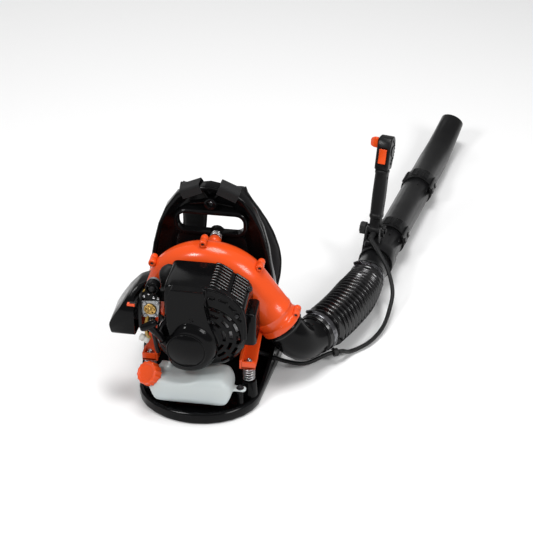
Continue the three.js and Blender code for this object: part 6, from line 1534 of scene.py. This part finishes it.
class BLOWER_OT_harness(bpy.types.Operator):
    """Shoulder pads, back cushion, webbing and buckles"""

    bl_idname = "blower.harness"
    bl_label = "Harness"

    def execute(self, context):
        sizes = context.scene.blower_sizes
        wall = sizes.strap_wall / MM
        for side, turn in (("left", -1), ("right", 1)):
            place = Matrix.Translation((turn * STRAP_X, 0, STRAP_Z)) @ turn_about(turn * STRAP_TILT, "Y")
            self.pad(side, sizes.pad_swell, place)
            self.top_strap(side, place, wall)
            lower = weave(LOWER_STRAPS[side], 12.5, wall, f"lower_webbing_{side}", 40)
            dress(lower, "webbing", replaces=[f"lower_strap_{side}"])
            self.buckle(side)
        self.cushion(sizes.pad_swell)
        return {"FINISHED"}

    def pad(self, side, swell, place):
        """Shoulder pad with its edge binding, the webbing along its middle and their stitches."""
        half, wall = PAD_WIDTH / 2 - 4, PAD_WALL / 2 - 4
        top = [(half, wall * 0.4), (half - 3, wall), (3 - half, wall), (-half, wall * 0.4)]
        section = [(3 - half, -wall), (half - 3, -wall), (half, -wall * 0.4), *top, (-half, -wall * 0.4)]
        pad = band(f"padded_strap_{side}", PADS[side], section, PAD_STEPS)
        swollen(pad, swell)
        dress(pad, "padding", replaces=[f"shoulder_pad_{side}"])
        steps = list(frames(spline(PADS[side], PAD_STEPS)))
        edges, seams = [], []
        for lean in (-1, 1):
            run = against(pad, [centre + across * lean * (half + 6) for centre, across, _ in steps], 0.5)
            seam = [centre + across * lean * (half - 6.5) - out * 20 for centre, across, out in steps]
            seams += stitches(against(pad, seam, 0.2)[2:-1])
            edges.append(rope(run, 2.6, 90, 10))
        dress(gathered(f"pad_binding_{side}", edges), "webbing")
        middle = [centre - out * 20 for centre, _, out in steps]
        strip = against(pad, middle, 1.2)[4:-2]
        tail = [place @ Vector(p) for p in ((0, 127, -1.4), (0, 129.4, -7))]
        dress(weave(tail + strip[::5], 17, 2.4, f"pad_webbing_{side}", 64), "webbing")
        for lean in (-1, 1):
            seams += stitches(against(pad, [p + RIGHT * 14.6 * lean for p in middle], 2.6)[4:-3])
        dress(gathered(f"pad_stitches_{side}", seams), "thread")

    def top_strap(self, side, place, wall):
        """Webbing from inside the plate, over its top edge and down to the pad."""
        front, over = PLATE_BACK - PLATE_RIM_DEPTH - 0.3 - wall / 2, 0.3 + wall / 2
        route = [
            (front, -STRAP_DROP), (front, -8), (front, -0.8), (front + 1, 1), (front + 4, over), (110, over),
            (122, over), (126, 0), (128, -4), (129.8, -10),
        ]
        points = [place @ Vector((0, y, z)) for y, z in route]
        across = (place.to_3x3() @ RIGHT).normalized()
        strap = weave(points, STRAP_WIDTH / 2, wall, f"top_webbing_{side}", 50, across)
        dress(strap, "webbing", replaces=[f"strap_{side}"])

    def buckle(self, side):
        a, b = (Vector(p) for p in LOWER_STRAPS[side][:2])
        down = (b - a).normalized()
        across = (RIGHT - down * down.x).normalized()
        base = Matrix((across, down.cross(across).normalized(), down)).transposed().to_4x4()
        base.translation = a + down * 8
        bars = [
            bar((-19, -2.2, -13), (-14.5, 2.2, 13)), bar((14.5, -2.2, -13), (19, 2.2, 13)),
            bar((-17, -2.6, -14), (17, 2.6, -9.5)), bar((-17, -3.4, -2), (17, 3.4, 2)),
            bar((-17, -2.6, 9.5), (17, 2.6, 14)),
        ]
        made = gathered(f"ladder_buckle_{side}", [moved(part, base) for part in bars])
        dress(rounded(made, 0.9), "satin_black")

    def cushion(self, swell):
        """Back cushion with three pressed seams and a bound edge."""
        deep = CUSHION_BACK - CUSHION_FRONT
        half, tall, corner = CUSHION_WIDTH / 2 - 5, CUSHION_HEIGHT / 2 - 5, CUSHION_CORNER
        outline = []
        for cx, cz, start in ((1, 1, 0), (-1, 1, 90), (-1, -1, 180), (1, -1, 270)):
            x, z = cx * (half - corner), CUSHION_Z + cz * (tall - corner)
            outline += arc(x, z, corner, start, start + 90, 8)

        def loop(depth, scale_x, scale_z):
            return [
                Vector((x * scale_x, CUSHION_FRONT + depth, CUSHION_Z + (z - CUSHION_Z) * scale_z))
                for x, z in outline
            ]

        profile = [(1, 1), (0, 3.5), (0, deep - 8), (2.5, deep - 4.6), (6, deep - 4)]
        rings = [loop(depth, 1 - inset / half, 1 - inset / tall) for inset, depth in profile]
        made = swollen(solid("back_pad", *skin(rings)), swell)
        for vertex in made.data.vertices:
            depth = vertex.co.y / MM - CUSHION_FRONT
            for line in CUSHION_SEAMS:
                far = abs(vertex.co.z / MM - line)
                if far < SEAM_HALF and depth > 3:
                    vertex.co.y -= SEAM_DEPTH * MM * (1 - (far / SEAM_HALF) ** 2) ** 2
        dress(made, "padding", replaces=["back_cushion"])
        edge = against(made, loop(5, 1.012, 1.015), 0.4)
        edge.append(edge[0])
        total = travelled(edge)[-1]
        rings = circles(edge, [(total * i / 150, 2.3) for i in range(150)], 10, BACK)
        dress(solid("back_pad_binding", *skin(rings, closed=True)), "webbing")


# ------------------------------------------------------------------ finishes on the model's own pieces

class BLOWER_OT_finishes(bpy.types.Operator):
    """Finish, smooth curves and rounded edges of the model's own pieces"""

    bl_idname = "blower.finishes"
    bl_label = "Finishes"

    def execute(self, context):
        edge = context.scene.blower_sizes.edge
        for look, nodes in NODE_LOOKS.items():
            for node in nodes:
                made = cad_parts[node]
                made.data.materials.clear()
                made.data.materials.append(finish(look))
                for polygon in made.data.polygons:
                    polygon.material_index = 0
                    polygon.use_smooth = True
                self.crisp(made, edge * EDGE_SHARE.get(node, 1))
        return {"FINISHED"}

    def crisp(self, made, width):
        """Welded faces with narrow rounded edges."""
        modifier(made, "WELD", merge_threshold=2e-6)
        modifier(made, "DECIMATE", decimate_type="DISSOLVE", angle_limit=math.radians(1))
        modifier(
            made, "BEVEL", width=width, segments=2, limit_method="ANGLE", angle_limit=math.radians(34),
            harden_normals=True, use_clamp_overlap=True,
        )


# ------------------------------------------------------------------ panel and run

OPERATORS = (
    BLOWER_OT_stage, BLOWER_OT_cables, BLOWER_OT_finishes, BLOWER_OT_fan_case, BLOWER_OT_springs,
    BLOWER_OT_hose, BLOWER_OT_fuel_tank, BLOWER_OT_starter, BLOWER_OT_cover, BLOWER_OT_intake,
    BLOWER_OT_handle, BLOWER_OT_pipes, BLOWER_OT_harness,
)


class BLOWER_PT_panel(bpy.types.Panel):
    """Lists the blower's sizes, colours and pieces"""

    bl_label = "Leaf blower"
    bl_space_type = "VIEW_3D"
    bl_region_type = "UI"
    bl_category = "Blower"

    def draw(self, context):
        for group in (context.scene.blower_sizes, context.scene.blower_look):
            box = self.layout.box()
            for name in group.bl_rna.properties.keys():
                if name not in ("rna_type", "name"):
                    box.prop(group, name)
        for operator in OPERATORS:
            self.layout.operator(operator.bl_idname)


CLASSES = (BlowerLook, BlowerSizes, *OPERATORS, BLOWER_PT_panel)


def register():
    for kind in CLASSES:
        bpy.utils.register_class(kind)
    bpy.types.Scene.blower_look = PointerProperty(type=BlowerLook)
    bpy.types.Scene.blower_sizes = PointerProperty(type=BlowerSizes)


def unregister():
    del bpy.types.Scene.blower_sizes
    del bpy.types.Scene.blower_look
    for kind in reversed(CLASSES):
        bpy.utils.unregister_class(kind)


def main():
    register()
    for operator in OPERATORS:
        group, name = operator.bl_idname.split(".")
        getattr(getattr(bpy.ops, group), name)()


if __name__ == "__main__":
    main()
